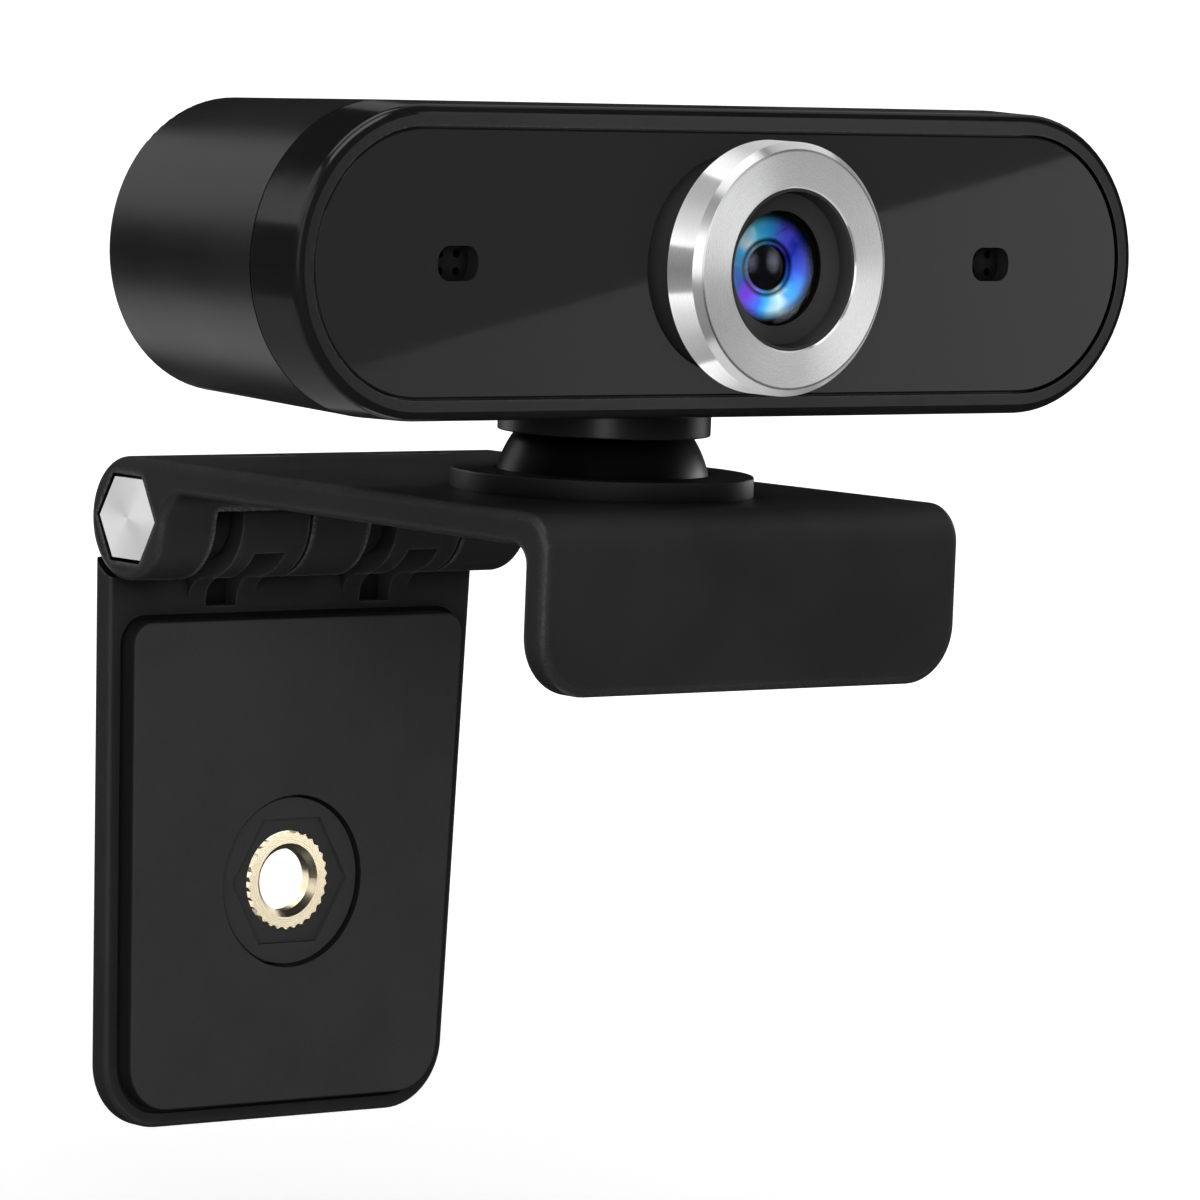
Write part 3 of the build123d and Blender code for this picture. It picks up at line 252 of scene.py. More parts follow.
def turned(name, colour, shade, roughness, lines, depth, centre=(0, 0, 0), tilt=(0, 0, 0), grain_way="", pull=0.0):
    """A turned metal finish: lines is its number of tool marks to the metre and depth their depth in metres.
    Tilt and centre bring the turning axis to the pattern's own upright axis."""
    material, tree, shader, spot = finish(name)
    upright = place(tree, "Mapping", {"Vector": spot, "Location": centre, "Rotation": tilt})
    joins = {
        "Place": upright.outputs[0], "Colour": (*colour, 1), "Shade": (*shade, 1),
        "Roughness": roughness, "Lines": lines,
    }
    wear(tree, shader, place(tree, "Group", joins, node_tree=turned_metal), depth)
    shader.inputs["Metallic"].default_value = 1.0
    if grain_way:
        way = place(tree, "Tangent", direction_type="RADIAL", axis=grain_way)
        tree.links.new(way.outputs[0], shader.inputs["Tangent"])
        shader.inputs["Anisotropic"].default_value = pull
        shader.inputs["Anisotropic Rotation"].default_value = 0.25
    return material


quarter = math.pi / 2
from_front = (-quarter, 0, 0)
insert_brass = turned(
    "insert_brass", colour=(0.98, 0.87, 0.66), shade=(0.93, 0.78, 0.54),
    roughness=0.30, lines=9000.0, depth=0.000004, centre=(0, -insert_height, 0), tilt=from_front,
)
dress(insert_brass, "tripod_insert")

# ------------------------------------------------------------------ hinge bolt, nut and sleeves
# A hexagon bolt and nut of plated steel clamp the hinge; the bolt's head shows at the left end of
# the barrel, faced off in a lathe. Two plain bearing sleeves inside give the leg its stiffness.

from_side = (0, quarter, 0)
axle = centre_of("hinge_bolt")
bolt_steel = turned(
    "bolt_steel", colour=(0.92, 0.92, 0.93), shade=(0.84, 0.84, 0.85),
    roughness=0.34, lines=14000.0, depth=0.000002, centre=(-axle.z, -axle.y, 0), tilt=from_side,
    grain_way="X", pull=0.85,
)
dress(bolt_steel, "hinge_bolt", "hinge_nut")
sleeve_black = moulding(
    "sleeve_black", colour=(0.012, 0.012, 0.012), corner=(0.020, 0.020, 0.020),
    roughness=0.55, grain=4000.0, depth=0.000010,
)
dress(sleeve_black, "friction_sleeves", "tilt_cup")

# ------------------------------------------------------------------ swivel flange
# The round flange that traps the swivelling dome, screwed down on the plate: a satin moulding
# whose rim is a shade lighter than the plate below it.

flange_black = moulding(
    "flange_black", colour=(0.015, 0.015, 0.0152), corner=(0.060, 0.060, 0.061),
    roughness=0.42, grain=7000.0, depth=0.000006, width=0.0002, specular=0.35,
)
dress(flange_black, "swivel_flange")

# ------------------------------------------------------------------ swivel dome
# The ball-topped dome under the neck, moulded in a polished tool and greased, so it shines where
# its lower edge comes out of the flange.

dome_black = moulding(
    "dome_black", colour=(0.003, 0.003, 0.0031), corner=(0.012, 0.012, 0.012),
    roughness=0.36, grain=3000.0, depth=0.000002, width=0.0002,
)
dress(dome_black, "swivel_dome")

# ------------------------------------------------------------------ neck collar and tilt clamp
# The collar under the head, with the stud, spring washer and nut that clamp it on the dome. The
# collar is satin plastic, and the clamp's small parts are zinc-plated steel.

neck_black = moulding(
    "neck_black", colour=(0.010, 0.010, 0.0102), corner=(0.026, 0.026, 0.027),
    roughness=0.36, grain=6500.0, depth=0.000005, width=0.0002,
)
dress(neck_black, "neck_collar")
screw_steel = turned(
    "screw_steel", colour=(0.62, 0.62, 0.64), shade=(0.45, 0.45, 0.46),
    roughness=0.32, lines=9000.0, depth=0.000003,
)
dress(screw_steel, "tilt_spring", "tilt_stud", "neck_washer", "tilt_nut", "board_screws", "holder_screws")

# ------------------------------------------------------------------ rear shell and cable gland
# The deep back half of the head, a soft satin moulding with rounded ends. A rubber gland sits in
# its back where the lead comes out.

shell_black = moulding(
    "shell_black", colour=(0.009, 0.009, 0.0092), corner=(0.020, 0.020, 0.020),
    roughness=0.34, grain=9000.0, depth=0.000004, width=0.0003,
)
dress(shell_black, "rear_shell")
seal_rubber = moulding(
    "seal_rubber", colour=(0.012, 0.012, 0.012), corner=(0.018, 0.018, 0.018),
    roughness=0.62, grain=5000.0, depth=0.000012, width=0.0002, specular=0.3,
)
dress(seal_rubber, "cable_gland", "mic_boots")

# ------------------------------------------------------------------ main board and its parts
# The green circuit board behind the panel with its chips, crystal and header: solder mask over
# copper, black moulded packages, and a white connector body.

material, tree, shader, spot = finish("board_green")
mask_green, copper_green = (0.012, 0.10, 0.045, 1), (0.022, 0.16, 0.07, 1)
tracks = place(tree, "TexBrick", {"Vector": spot, "Scale": 900.0, "Mortar Size": 0.03}, offset=0.37).outputs["Fac"]
weave = place(tree, "TexNoise", {"Vector": spot, "Scale": 2500.0, "Detail": 2.0})
tree.links.new(mixed(tree, tracks, mask_green, copper_green), shader.inputs["Base Color"])
tree.links.new(blotched(tree, weave, 0.30, 0.42), shader.inputs["Roughness"])
bumped(tree, shader, tracks, 0.00003)
dress(material, "main_board")

chip_black = moulding(
    "chip_black", colour=(0.016, 0.016, 0.016), corner=(0.024, 0.024, 0.024),
    roughness=0.5, grain=4000.0, depth=0.000010,
)
dress(chip_black, "image_sensor", "video_chip", "board_passives")
header_white = moulding(
    "header_white", colour=(0.78, 0.76, 0.70), corner=(0.84, 0.82, 0.78),
    roughness=0.45, grain=3000.0, depth=0.000006,
)
dress(header_white, "cable_header")
lens_axis = Vector((0, 0, centre_of("focus_ring").z))
capsule_metal = turned(
    "capsule_metal", colour=(0.66, 0.66, 0.67), shade=(0.50, 0.50, 0.51),
    roughness=0.30, lines=8000.0, depth=0.000002, centre=(0, -lens_axis.z, 0), tilt=from_front,
)
dress(capsule_metal, "mic_capsules", "clock_crystal")

# ------------------------------------------------------------------ lens barrel and holder
# The threaded barrel that carries the glasses, black-anodised and ribbed inside against stray
# light, in a matt black holder screwed to the board. The filter over the sensor is coated red.

barrel_black = moulding(
    "barrel_black", colour=(0.004, 0.004, 0.004), corner=(0.010, 0.010, 0.010),
    roughness=0.5, grain=6000.0, depth=0.000006, width=0.0002, specular=0.3,
)
dress(barrel_black, "lens_barrel", "aperture_stop")
shade_black = moulding(
    "shade_black", colour=(0.026, 0.026, 0.0265), corner=(0.05, 0.05, 0.05),
    roughness=0.42, grain=8000.0, depth=0.000005, width=0.0002, specular=0.4,
)
dress(shade_black, "lens_holder", "lens_shade")

material, tree, shader, spot = finish("filter_glass")
pale_red, pale_violet = (0.9, 0.55, 0.6, 1), (0.7, 0.6, 0.85, 1)
streak = place(tree, "TexNoise", {"Vector": spot, "Scale": 300.0, "Detail": 2.0}).outputs["Fac"]
tree.links.new(mixed(tree, streak, pale_red, pale_violet), shader.inputs["Base Color"])
shader.inputs["Roughness"].default_value = 0.03
shader.inputs["Transmission Weight"].default_value = 0.8
dress(material, "infrared_filter")

# ------------------------------------------------------------------ glasses
# Three glass elements. The front one is flat-backed, clear with a blue and violet coating; the
# dish behind it carries the lens's colour as painted reflections of the coating, with painted
# highlights, round the dark dome of the stop.

material, tree, shader, spot = finish("lens_glass")
bluish_clear, violet_clear = (0.92, 0.96, 1.0, 1), (0.98, 0.97, 1.0, 1)
film = place(tree, "TexNoise", {"Vector": spot, "Scale": 220.0, "Detail": 1.0}).outputs["Fac"]
tree.links.new(mixed(tree, film, bluish_clear, violet_clear), shader.inputs["Base Color"])
shader.inputs["Roughness"].default_value = 0.0
shader.inputs["IOR"].default_value = 1.45
shader.inputs["Specular Tint"].default_value = (0.14, 0.15, 0.20, 1)
shader.inputs["Transmission Weight"].default_value = 1.0
dress(material, "front_lens", "inner_lens", "rear_lens")


def spun(points, centre, axis, steps):
    """A shape spun once round an axis from the points of its profile."""
    shape = bmesh.new()
    line = [shape.verts.new(point) for point in points]
    edges = [shape.edges.new(pair) for pair in zip(line, line[1:])]
    once = 2 * math.pi
    bmesh.ops.spin(shape, geom=line + edges, cent=centre, axis=axis, angle=once, steps=steps, use_merge=True)
    bmesh.ops.remove_doubles(shape, verts=shape.verts, dist=1e-6)
    return shape


def mesh_piece(name, shape, material):
    """A new piece from a finished shape, with its one finish."""
    mesh = bpy.data.meshes.new(name)
    shape.to_mesh(mesh)
    shape.free()
    mesh.materials.append(material)
    piece = bpy.data.objects.new(name, mesh)
    bpy.context.scene.collection.objects.link(piece)
    return piece


def turned_piece(name, profile, material, body):
    """A round piece on the lens axis: profile is (radius, depth) pairs in metres, spun once round."""
    points = [lens_axis + Vector((radius, depth, 0)) for radius, depth in profile]
    shape = spun(points, lens_axis, (0, 1, 0), 96)
    bmesh.ops.recalc_face_normals(shape, faces=shape.faces)
    for face in shape.faces:
        face.smooth = True
    piece = mesh_piece(name, shape, material)
    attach(piece, body)


def ramp(tree, value, stops):
    """A value turned into colours by (value, colour) stops in rising order, as its output socket."""
    node = place(tree, "ValToRGB", {0: value})
    bands = node.color_ramp.elements
    for end in (0, -1):
        bands[end].position, bands[end].color = stops[end][0], (*stops[end][1], 1)
    for stop, colour in stops[1:-1]:
        bands.new(stop).color = (*colour, 1)
    return node.outputs[0]


def greys(*stops):
    """The stops of a ramp given as (value, brightness) pairs."""
    return [(stop, (shade, shade, shade)) for stop, shade in stops]


# the dish: painted reflections of the lens's coating by bearing round the lens, bent by a swirl, with two painted
# cyan-white highlights, and dark rings by reach from its axis
material, tree, shader, spot = finish("painted_reflection_dish")
joins = {"Vector": spot, "Location": (0, -lens_axis.z, 0), "Rotation": from_front}
centred = place(tree, "Mapping", joins).outputs[0]
parts = place(tree, "SeparateXYZ", {0: centred}).outputs
swirl = place(tree, "TexNoise", {"Vector": centred, "Scale": 420.0, "Detail": 1.0, "Distortion": 1.2})
angle = sum_of(tree, "ARCTAN2", parts["Y"], parts["X"])
bearing = sum_of(tree, "MULTIPLY_ADD", angle, 0.5 / math.pi, 0.5)
bend = 0.14
straight = sum_of(tree, "SUBTRACT", bearing, bend / 2)
bent = sum_of(tree, "MULTIPLY_ADD", swirl.outputs["Fac"], bend, straight)
# painted reflections: the bearing colours stand for the coating's reflections, and the two cyan-white stops at
# 0.33 and 0.87 are painted highlights
colours = ramp(tree, sum_of(tree, "FRACT", bent), (
    (0.00, (0.02, 0.20, 0.48)), (0.08, (0.01, 0.10, 0.60)), (0.14, (0.24, 0.03, 0.90)), (0.20, (0.04, 0.20, 0.98)),
    (0.26, (0.08, 0.55, 0.98)), (0.33, (0.72, 0.98, 1.00)), (0.39, (0.03, 0.40, 0.92)), (0.47, (0.01, 0.12, 0.85)),
    (0.53, (0.02, 0.05, 0.62)), (0.58, (0.01, 0.03, 0.42)), (0.65, (0.10, 0.09, 0.82)), (0.73, (0.03, 0.46, 0.95)),
    (0.81, (0.12, 0.70, 0.98)), (0.87, (0.78, 0.98, 1.00)), (0.93, (0.04, 0.46, 0.85)), (1.00, (0.02, 0.20, 0.48)),
))
full_reach = 0.004
shares = place(tree, "VectorMath", {0: centred, 1: Vector((1, 1, 0)) / full_reach}, operation="MULTIPLY")
reach = place(tree, "VectorMath", {0: shares.outputs[0]}, operation="LENGTH").outputs["Value"]
rim_blue = (1.0, (0.0, 0.0, 0.02))
rings = ramp(tree, reach, greys(
    (0.385, 0.0), (0.405, 0.9), (0.435, 0.9), (0.455, 0.10), (0.48, 0.14),
    (0.54, 1.0), (0.76, 1.0), (0.86, 0.45), (0.95, 0.05),
) + [rim_blue])
tree.links.new(mixed(tree, 1.0, colours, rings, "MULTIPLY"), shader.inputs["Base Color"])
tree.links.new(blotched(tree, swirl, 0.25, 0.45), shader.inputs["Roughness"])
shader.inputs["Metallic"].default_value = 0.85
shader.inputs["Specular IOR Level"].default_value = 0.1
dish = [
    (0.00146, -0.01912), (0.00152, -0.01935), (0.00200, -0.01937),
    (0.00260, -0.01939), (0.00330, -0.01942), (0.00395, -0.01945),
]
turned_piece("painted_reflection_dish", dish, material, "lens_cell")

# the stop's dome: dark, and just smooth enough for two soft glints
material, tree, shader, spot = finish("stop_dome")
pupil_black, hazy_black = (0.001, 0.001, 0.0015, 1), (0.004, 0.004, 0.005, 1)
haze = place(tree, "TexNoise", {"Vector": spot, "Scale": 500.0, "Detail": 2.0})
tree.links.new(mixed(tree, haze.outputs["Fac"], pupil_black, hazy_black), shader.inputs["Base Color"])
tree.links.new(blotched(tree, haze, 0.18, 0.26), shader.inputs["Roughness"])
shader.inputs["Specular IOR Level"].default_value = 0.1
dome_radius, dome_foot, dome_rise, dome_steps = 0.00150, -0.01915, 0.00021, 10
climb = [step * quarter / dome_steps for step in range(dome_steps + 1)]
dome = [(dome_radius * math.sin(angle), dome_foot - dome_rise * math.cos(angle)) for angle in climb]
turned_piece("stop_dome", dome, material, "lens_cell")

# ------------------------------------------------------------------ front bezel
# The bezel that closes the shell's front, in polished black plastic with a rounded outer edge and
# a step that holds the panel.

bezel_black = moulding(
    "bezel_black", colour=(0.007, 0.007, 0.0072), corner=(0.020, 0.020, 0.020),
    roughness=0.15, grain=2500.0, depth=0.000002, width=0.0003,
)
dress(bezel_black, "front_bezel")

# ------------------------------------------------------------------ front panel and microphones
# The panel is a sheet of black acrylic, mirror-smooth, bonded into the bezel. Behind its two
# openings sit the microphone grilles, small discs with four drilled holes.

material, tree, shader, spot = finish("panel_black")
deep_black, pale_black = (0.0080, 0.0080, 0.0082, 1), (0.0094, 0.0094, 0.0095, 1)
ripple = place(tree, "TexNoise", {"Vector": spot, "Scale": 25.0, "Detail": 1.0}).outputs["Fac"]
drawn_out = place(tree, "Mapping", {"Vector": spot, "Scale": (40.0, 1.0, 400.0)}).outputs[0]
wipe = place(tree, "TexNoise", {"Vector": drawn_out, "Scale": 3.0, "Detail": 4.0}).outputs["Fac"]
tree.links.new(mixed(tree, ripple, deep_black, pale_black), shader.inputs["Base Color"])
tree.links.new(spread(tree, wipe, 0.35, 0.75, 0.015, 0.035), shader.inputs["Roughness"])
bumped(tree, shader, ripple, 0.00001)
shader.inputs["Specular IOR Level"].default_value = 0.3
dress(material, "front_panel")
grille_black = moulding(
    "grille_black", colour=(0.017, 0.017, 0.0172), corner=(0.020, 0.020, 0.020),
    roughness=0.45, grain=8000.0, depth=0.000005, width=0.0001, specular=0.3,
)
dress(grille_black, "mic_grilles")

# ------------------------------------------------------------------ lens surround and focus ring
# A black boss round the lens carries the focus ring, which is spun from aluminium: its face and
# rim are turned, with a bright bevel between them, and a dark cone lines its opening.

surround_black = moulding(
    "surround_black", colour=(0.028, 0.028, 0.028), corner=(0.030, 0.030, 0.030),
    roughness=0.36, grain=7000.0, depth=0.000004, width=0.0003,
)
dress(surround_black, "lens_surround")
ring_silver = turned(
    "ring_silver", colour=(0.92, 0.92, 0.925), shade=(0.86, 0.86, 0.865),
    roughness=0.28, lines=16000.0, depth=0.0000003, centre=(0, -lens_axis.z, 0), tilt=from_front,
    grain_way="Y", pull=0.9,
)
dress(ring_silver, "focus_ring")

# ------------------------------------------------------------------ table, lights and camera
# The webcam is photographed above a plain white table, in a black curtain with soft boxes, so its
# black plastic shows only the shapes of the lights. The curtain is out of the camera's sight.


def white_to_the_lens(tree, lit, dim):
    """The brightness of a white ground: full for what the lens, metal or glass sees, dim as a light."""
    seen = place(tree, "LightPath").outputs
    straight = sum_of(tree, "MAXIMUM", seen["Is Camera Ray"], seen["Is Glossy Ray"])
    return spread(tree, sum_of(tree, "MAXIMUM", straight, seen["Is Transmission Ray"]), 0.0, 1.0, dim, lit)


material, tree, shader, spot = finish("table_white")
paper_grey, paper_white = (0.90, 0.90, 0.90, 1), (0.93, 0.93, 0.93, 1)
paper = place(tree, "TexNoise", {"Vector": spot, "Scale": 30.0, "Detail": 3.0}).outputs["Fac"]
tree.links.new(mixed(tree, paper, paper_grey, paper_white), shader.inputs["Base Color"])
shader.inputs["Roughness"].default_value = 1.0
shader.inputs["Specular IOR Level"].default_value = 0.0
shader.inputs["Emission Color"].default_value = (1, 1, 1, 1)
away = place(tree, "VectorMath", {0: spot}, operation="LENGTH").outputs["Value"]
glow = sum_of(tree, "MULTIPLY", spread(tree, away, 0.12, 0.50, 0.45, 1.0), white_to_the_lens(tree, 1.0, 0.0))
tree.links.new(glow, shader.inputs["Emission Strength"])
table_top, table_half = -0.075, 40.0
shape = bmesh.new()
level = Matrix.Translation((0, 0, table_top))
bmesh.ops.create_grid(shape, x_segments=1, y_segments=1, size=table_half, matrix=level)
mesh_piece("table", shape, material)

world = bpy.data.worlds.new("studio")
bpy.context.scene.world = world
world.use_nodes = True
sky = world.node_tree.nodes["Background"]
sky.inputs["Color"].default_value = (1, 1, 1, 1)
world.node_tree.links.new(white_to_the_lens(world.node_tree, 1.0, 0.25), sky.inputs["Strength"])

# the curtain: black cloth all round and over the table, with the table bare in the middle
material, tree, shader, spot = finish("curtain_black")
cloth_black, cloth_grey = (0.01, 0.01, 0.01, 1), (0.02, 0.02, 0.02, 1)
cloth = place(tree, "TexNoise", {"Vector": spot, "Scale": 8.0, "Detail": 2.0}).outputs["Fac"]
tree.links.new(mixed(tree, cloth, cloth_black, cloth_grey), shader.inputs["Base Color"])
shader.inputs["Roughness"].default_value = 1.0
bare, wide, tall, hem = 0.02, 1.5, 1.6, table_top + 0.001
hanging = [Vector((bare, 0, hem)), Vector((wide, 0, hem)), Vector((wide, 0, tall)), Vector((0, 0, tall))]
curtain = mesh_piece("curtain", spun(hanging, (0, 0, 0), (0, 0, 1), 48), material)
curtain.visible_camera = False
curtain.visible_diffuse = False
curtain.visible_transmission = False
curtain.visible_shadow = False


def piece_of(name):
    """A piece made here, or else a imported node."""
    return bpy.data.objects.get(name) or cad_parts[name]


def soft_box(name, low, high, toward, width, brightness, onto=(), but=(), past=()):
    """A soft box from a low point to a high one, facing a third: brightness is what a mirror would show of
    it, or of its low and high ends. It lights every piece, or only some, or all but some, past pieces that
    cast no shadow."""
    low, high = Vector(low), Vector(high)
    low_light, high_light = brightness if isinstance(brightness, tuple) else (brightness, brightness)
    lamp = bpy.data.lights.new(name, "AREA")
    lamp.shape = "RECTANGLE"
    lamp.size, lamp.size_y = width, (high - low).length
    lamp.energy = 4.0 * lamp.size * lamp.size_y
    lamp.use_nodes = True
    tree = lamp.node_tree
    climb = place(tree, "SeparateXYZ", {0: place(tree, "NewGeometry").outputs["Parametric"]}).outputs["Y"]
    light = spread(tree, climb, 0.0, 1.0, low_light, high_light)
    tree.links.new(light, tree.nodes["Emission"].inputs["Strength"])
    holder = bpy.data.objects.new(name, lamp)
    holder.visible_camera = False
    bpy.context.scene.collection.objects.link(holder)
    middle = (low + high) / 2
    upward = (high - low).normalized()
    away = middle - Vector(toward)
    away = (away - upward * away.dot(upward)).normalized()
    axes = Matrix((upward.cross(away), upward, away)).transposed()
    holder.matrix_world = Matrix.Translation(middle) @ axes.to_4x4()
    for part, some, keep in (("receiver", onto or but, bool(onto)), ("blocker", past, False)):
        if some:
            pieces = bpy.data.collections.new(name + "_" + part)
            for piece in some:
                pieces.objects.link(piece_of(piece))
            setattr(holder.light_linking, part + "_collection", pieces)
            for entry in pieces.collection_objects:
                entry.light_linking.link_state = "INCLUDE" if keep else "EXCLUDE"
    return holder


def upright(x, y, low, high):
    """The low and high points of an upright box."""
    return Vector((x, y, low)), Vector((x, y, high))


def upright_at(point, half):
    """The low and high points of an upright box with its middle at a point."""
    return point - Vector((0, 0, half)), point + Vector((0, 0, half))


def on_table(x, near, far):
    """The near and far points of a box that lies on the table, and a point high over it that it faces."""
    lying = table_top + 0.002
    return Vector((x, near, lying)), Vector((x, far, lying)), Vector((x, (near + far) / 2, 1))


def from_lens(x, y, z):
    """A point by its steps from the middle of the lens's axis."""
    return lens_axis + Vector((x, y, z))


def toward_sky(bearing, height, distance):
    """A point seen from the head at a bearing clockwise from straight behind it and a height, in degrees."""
    bearing, height = math.radians(bearing), math.radians(height)
    flat = math.cos(height)
    return lens_axis + distance * Vector((math.sin(bearing) * flat, math.cos(bearing) * flat, math.sin(height)))


middle = Vector((0, 0, 0.02))
neck = Vector((0, 0, 0.01))
hinge = Vector((0, 0.04, 0))
bolt_head = Vector((-0.02, 0.04, -0.003))
insert = Vector((0, 0.04, -0.035))
own_light = (
    "rear_shell", "front_bezel", "front_panel", "hinge_bolt", "swivel_dome", "neck_collar", "front_lens",
)

# light for the whole part: a high box from the left, a box over it, a large fill that no gloss shows, and
# a box by the camera
soft_box(
    "left_box", (-0.50, -0.03, 0.17), (-0.64, -0.03, 0.47), middle, width=0.50, brightness=1.8,
    but=own_light + ("focus_ring",),
)
soft_box(
    "top_box", (-0.10, -0.60, 0.87), (-0.10, -0.10, 0.87), middle, width=0.70, brightness=1.6,
    but=("front_lens",),
)
fill = soft_box("fill_box", *upright(-0.62, -0.74, -0.15, 0.45), middle, width=0.80, brightness=4.6)
fill.visible_glossy = False
soft_box(
    "camera_box", *upright(-0.36, -0.43, -0.05, 0.23), middle, width=0.34, brightness=1.1,
    but=own_light + ("swivel_flange",),
)

# light for the sides that the camera doesn't see: a fill from behind, boxes behind, above and at the right,
# and boxes that only the panel, the hinge's ends or the front of the bright metal show
back_fill = soft_box(
    "back_fill_box", *upright(0.15, 0.95, -0.05, 0.55), middle, width=0.90, brightness=4.4, but=("table",),
)
back_fill.visible_glossy = False
soft_box(
    "back_floor_box", *on_table(0.14, 0.26, 0.80), width=0.55, brightness=(0.9, 0.5),
    but=("table", "tripod_insert", "focus_ring"),
)
soft_box(
    "panel_left_card", *upright(-0.40, -0.80, -0.25, 0.55), lens_axis, width=1.10, brightness=(0.10, 0.75),
    onto=("front_panel",),
)
soft_box(
    "over_box", (0, 0.10, 0.95), (0, 0.70, 0.95), middle, width=0.80, brightness=0.9,
    but=("front_lens", "focus_ring", "table"),
)
soft_box(
    "right_box", *upright(0.60, 0.05, -0.06, 0.40), middle, width=0.55, brightness=(0.4, 1.1),
    but=own_light[1:] + ("focus_ring", "swivel_flange", "table"),
)
soft_box(
    "front_box", *upright(-0.25, -0.85, -0.30, 0.45), middle, width=0.80, brightness=(0.62, 0.70),
    onto=("focus_ring", "tripod_insert"),
)
soft_box(
    "nut_box", *upright(0.50, 0.04, -0.20, 0.25), hinge, width=1.10, brightness=(0.7, 0.9),
    onto=("hinge_nut",),
)
soft_box(
    "bolt_left_box", *upright(-0.50, -0.20, -0.20, 0.25), hinge, width=0.45, brightness=(0.6, 0.7),
    onto=("hinge_bolt",),
)

# light for the head's rounded ends: a box high behind, boxes at the left, before and over it for the bezel,
# and low ones past the leg
leg_pieces = ("clip_leg", "leg_pad", "tripod_insert")
soft_box(
    "shell_box", toward_sky(-38.6, 14, 0.6), toward_sky(-6, 43, 0.6), lens_axis, width=0.5,
    brightness=(0.72, 0.50), onto=("rear_shell",),
)
soft_box(
    "shell_low_box", *on_table(-0.115, 0.06, 0.21), width=0.17, brightness=(0.74, 0.80),
    onto=("rear_shell",), past=leg_pieces,
)
soft_box(
    "bezel_box", toward_sky(-75, 17, 0.5), toward_sky(-75, 52, 0.5), lens_axis, width=0.70,
    brightness=(0.68, 0.50), onto=("front_bezel",),
)
soft_box(
    "bezel_low_box", *on_table(-0.07, 0.0, 0.28), width=0.28, brightness=(0.17, 0.20),
    onto=("front_bezel",), past=leg_pieces,
)
soft_box(
    "ridge_box", *upright(-0.42, -0.40, -0.05, 0.40), lens_axis, width=0.30, brightness=(0.22, 0.65),
    onto=("front_bezel",),
)
soft_box(
    "crest_box", from_lens(0.38, 0.44, 0.10), from_lens(0.38, 0.0, 0.46), lens_axis, width=0.40,
    brightness=(0.13, 0.26), onto=("front_bezel",),
)

# light for the neck: a narrow box by the camera and one at each side, for the streaks on the collar and dome
soft_box(
    "neck_front_box", *upright(-0.38, -0.46, -0.11, 0.05), neck, width=0.10, brightness=4.6,
    onto=("neck_collar",),
)
for name, piece, depth, right_side, left_side in (
    ("collar", "neck_collar", -0.03, 1.4, 0.9),
    ("dome", "swivel_dome", -0.03, 4.2, 0.55),
    ("flange", "swivel_flange", 0.15, 2.0, 1.2),
):
    for side, x, y, brightness in (("right", 0.50, depth, right_side), ("left", -0.13, 0.50, left_side)):
        ends = upright(x, y, -0.05, 0.25)
        soft_box(f"{name}_{side}_box", *ends, neck, width=0.22, brightness=brightness, onto=(piece,))

# light for the bright metal: a card that the bolt's face shows, boxes for the insert's bore and face, boxes
# and cards for the ring's face and bevel, and a disc round the ring's rim
soft_box(
    "bolt_box", *upright(-0.276, 0.344, -0.23, 0.19), bolt_head, width=0.42, brightness=(0.95, 0.70),
    onto=("hinge_bolt",),
)
soft_box(
    "bore_box", *upright(-0.065, 0.125, -0.071, 0.05), insert, width=0.12, brightness=0.9,
    onto=("tripod_insert",), past=leg_pieces[:2],
)
soft_box(
    "bore_high_box", (-0.03, 0.25, 0.27), (-0.03, 0.50, 0.20), insert, width=0.35, brightness=1.1,
    onto=("tripod_insert",), past=leg_pieces[:2],
)
soft_box(
    "insert_box", *upright(0.32, -0.35, -0.23, 0.07), insert, width=0.3, brightness=2.6,
    onto=("tripod_insert",),
)
for name, low, high, width, brightness in (
    ("ring_face_box", *upright(0.32, -0.74, 0.0, 0.32), 0.32, 0.9),
    ("ring_front_box", *upright(0.45, -0.56, -0.38, 0.32), 0.70, (0.14, 0.22)),
    ("ring_near_card", *upright(0.044, -0.063, 0.000, 0.030), 0.03, 0.38),
    ("ring_bevel_card", *upright_at(from_lens(-0.055, -0.07, 0), 0.1), 0.08, 0.20),
    ("ring_low_card", from_lens(-0.05, -0.065, -0.085), from_lens(0.09, 0.02, -0.075), 0.08, 0.62),
    ("ring_high_card", from_lens(0.19, -0.13, 0.22), from_lens(0.19, 0.09, 0.22), 0.22, 0.55),
):
    soft_box(name, low, high, lens_axis, width, brightness, onto=("focus_ring",))

# the disc faces forward from behind the rim, banded by the bearing round it, alike on both sides of one line
behind_rim = from_lens(0, -0.0158, 0)
forward = Vector((0, -1, 0))
disc = soft_box(
    "ring_rim_disc", *upright_at(behind_rim, 0.05), behind_rim + forward, width=0.10, brightness=1.0,
    onto=("focus_ring",),
)
tree = disc.data.node_tree
banded_from = math.radians(182.4)
parts = place(tree, "SeparateXYZ", {0: place(tree, "NewGeometry").outputs["Parametric"]}).outputs
across, upward = sum_of(tree, "SUBTRACT", 0.5, parts["X"]), sum_of(tree, "SUBTRACT", parts["Y"], 0.5)
bearing = sum_of(tree, "SUBTRACT", sum_of(tree, "ARCTAN2", upward, across), banded_from)
turned_off = sum_of(tree, "ARCCOSINE", sum_of(tree, "COSINE", bearing))
bands = ramp(tree, sum_of(tree, "DIVIDE", turned_off, math.pi), greys(
    (0.0, 0.16), (0.075, 0.26), (0.079, 1.05), (0.15, 0.65), (0.24, 0.42),
    (0.335, 0.30), (0.340, 1.05), (0.42, 0.85), (0.50, 0.50), (1.0, 0.40),
))
tree.links.new(bands, tree.nodes["Emission"].inputs["Strength"])

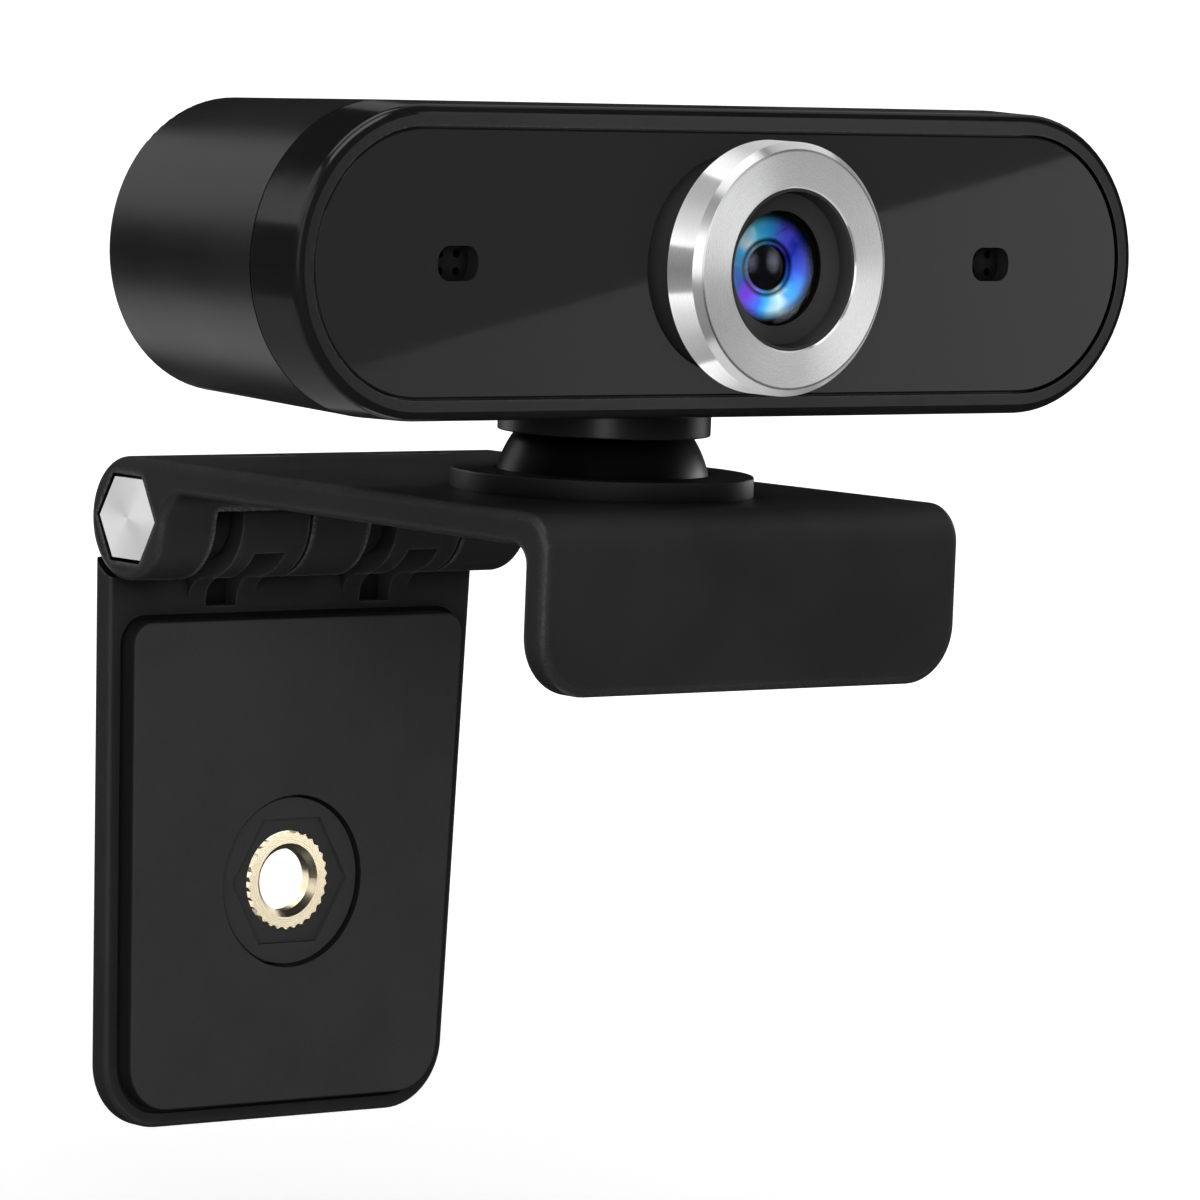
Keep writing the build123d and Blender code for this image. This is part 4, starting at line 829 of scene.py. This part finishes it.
# two small cards before the lens, soft at their edges, for the glints on the front glass
glint_away, glint_bright = 0.5, 16.0
for name, way in (("glass_left_card", (-0.245, -0.963, 0.117)), ("glass_right_card", (0.277, -0.954, 0.117))):
    ends = upright_at(lens_axis + Vector(way) * glint_away, 0.15)
    card = soft_box(name, *ends, lens_axis, width=0.20, brightness=1.0, onto=("front_lens",))
    tree = card.data.node_tree
    joins = {0: place(tree, "NewGeometry").outputs["Parametric"], 1: (0.5, 0.5, 0.0)}
    off = place(tree, "VectorMath", joins, operation="DISTANCE").outputs["Value"]
    tree.links.new(spread(tree, off, 0.0, 0.5, glint_bright, 0.0), tree.nodes["Emission"].inputs["Strength"])
soft_box(
    "dish_box", *upright_at(from_lens(0.30, -0.36, 0.06), 0.2), lens_axis, width=0.40, brightness=0.92,
    onto=("painted_reflection_dish",), past=("front_lens", "lens_shade", "focus_ring"),
)

# the camera's place and axes, and its focal length in picture widths
view = Vector((-0.434513, -0.518217, 0.053137))
right = Vector((0.76770, -0.63954, 0.04032))
up = Vector((0.02541, 0.09326, 0.99532))
back = right.cross(up)
picture = 1200
focal = 8044.84 / picture


def on_panel(across, down):
    """The point of the panel's face that the camera sees at this pixel of the picture."""
    ray = right * (across / picture - 0.5) + up * (0.5 - down / picture) - back * focal
    return view + ray * ((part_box("front_panel")[0].y - view.y) / ray.y)


def mirrored(point, distance):
    """What the camera sees reflected in the panel at this point, this far away."""
    ray = (point - view).normalized()
    return point + Vector((ray.x, -ray.y, ray.z)) * distance


# the cards at the front right, whose shared edge the panel mirrors as a slanting line between two pixels
line_low, line_high, card_away = (430, 345), (1090, 150), 0.7
low_end, high_end = mirrored(on_panel(*line_low), card_away), mirrored(on_panel(*line_high), card_away)
centre = (low_end + high_end) / 2
edge = (high_end - low_end).normalized()
facing = (middle - centre).normalized()
facing = (facing - edge * facing.dot(edge)).normalized()
rise = facing.cross(edge)
if rise.z < 0:
    rise = -rise
lens_pieces = (
    "lens_surround", "focus_ring", "lens_shade", "lens_barrel", "front_lens",
    "painted_reflection_dish", "stop_dome", "lens_holder", "aperture_stop",
)
half_height, half_length = 0.25, 0.2
for name, side, brightness in (("low_card", -1, (0.15, 1.60)), ("high_card", 1, 0.29)):
    at = centre + rise * side * half_height
    ends = at - edge * half_length, at + edge * half_length
    soft_box(
        name, *ends, at + facing, width=2 * half_height, brightness=brightness,
        onto=("front_panel",), past=lens_pieces,
    )
soft_box(
    "rim_card", *upright_at(centre, 0.3), middle, width=0.15, brightness=(0.50, 0.60),
    onto=("front_bezel",),
)
for name in lens_pieces + leg_pieces:
    piece_of(name).visible_glossy = False

lens = bpy.data.cameras.new("camera")
lens.sensor_width = 36.0
lens.lens = lens.sensor_width * focal
lens.clip_start, lens.clip_end = 0.01, 200.0
camera = bpy.data.objects.new("camera", lens)
bpy.context.scene.collection.objects.link(camera)
camera.matrix_world = Matrix.Translation(view) @ Matrix((right, up, back)).transposed().to_4x4()
bpy.context.scene.camera = camera
bpy.context.scene.view_settings.view_transform = "Standard"
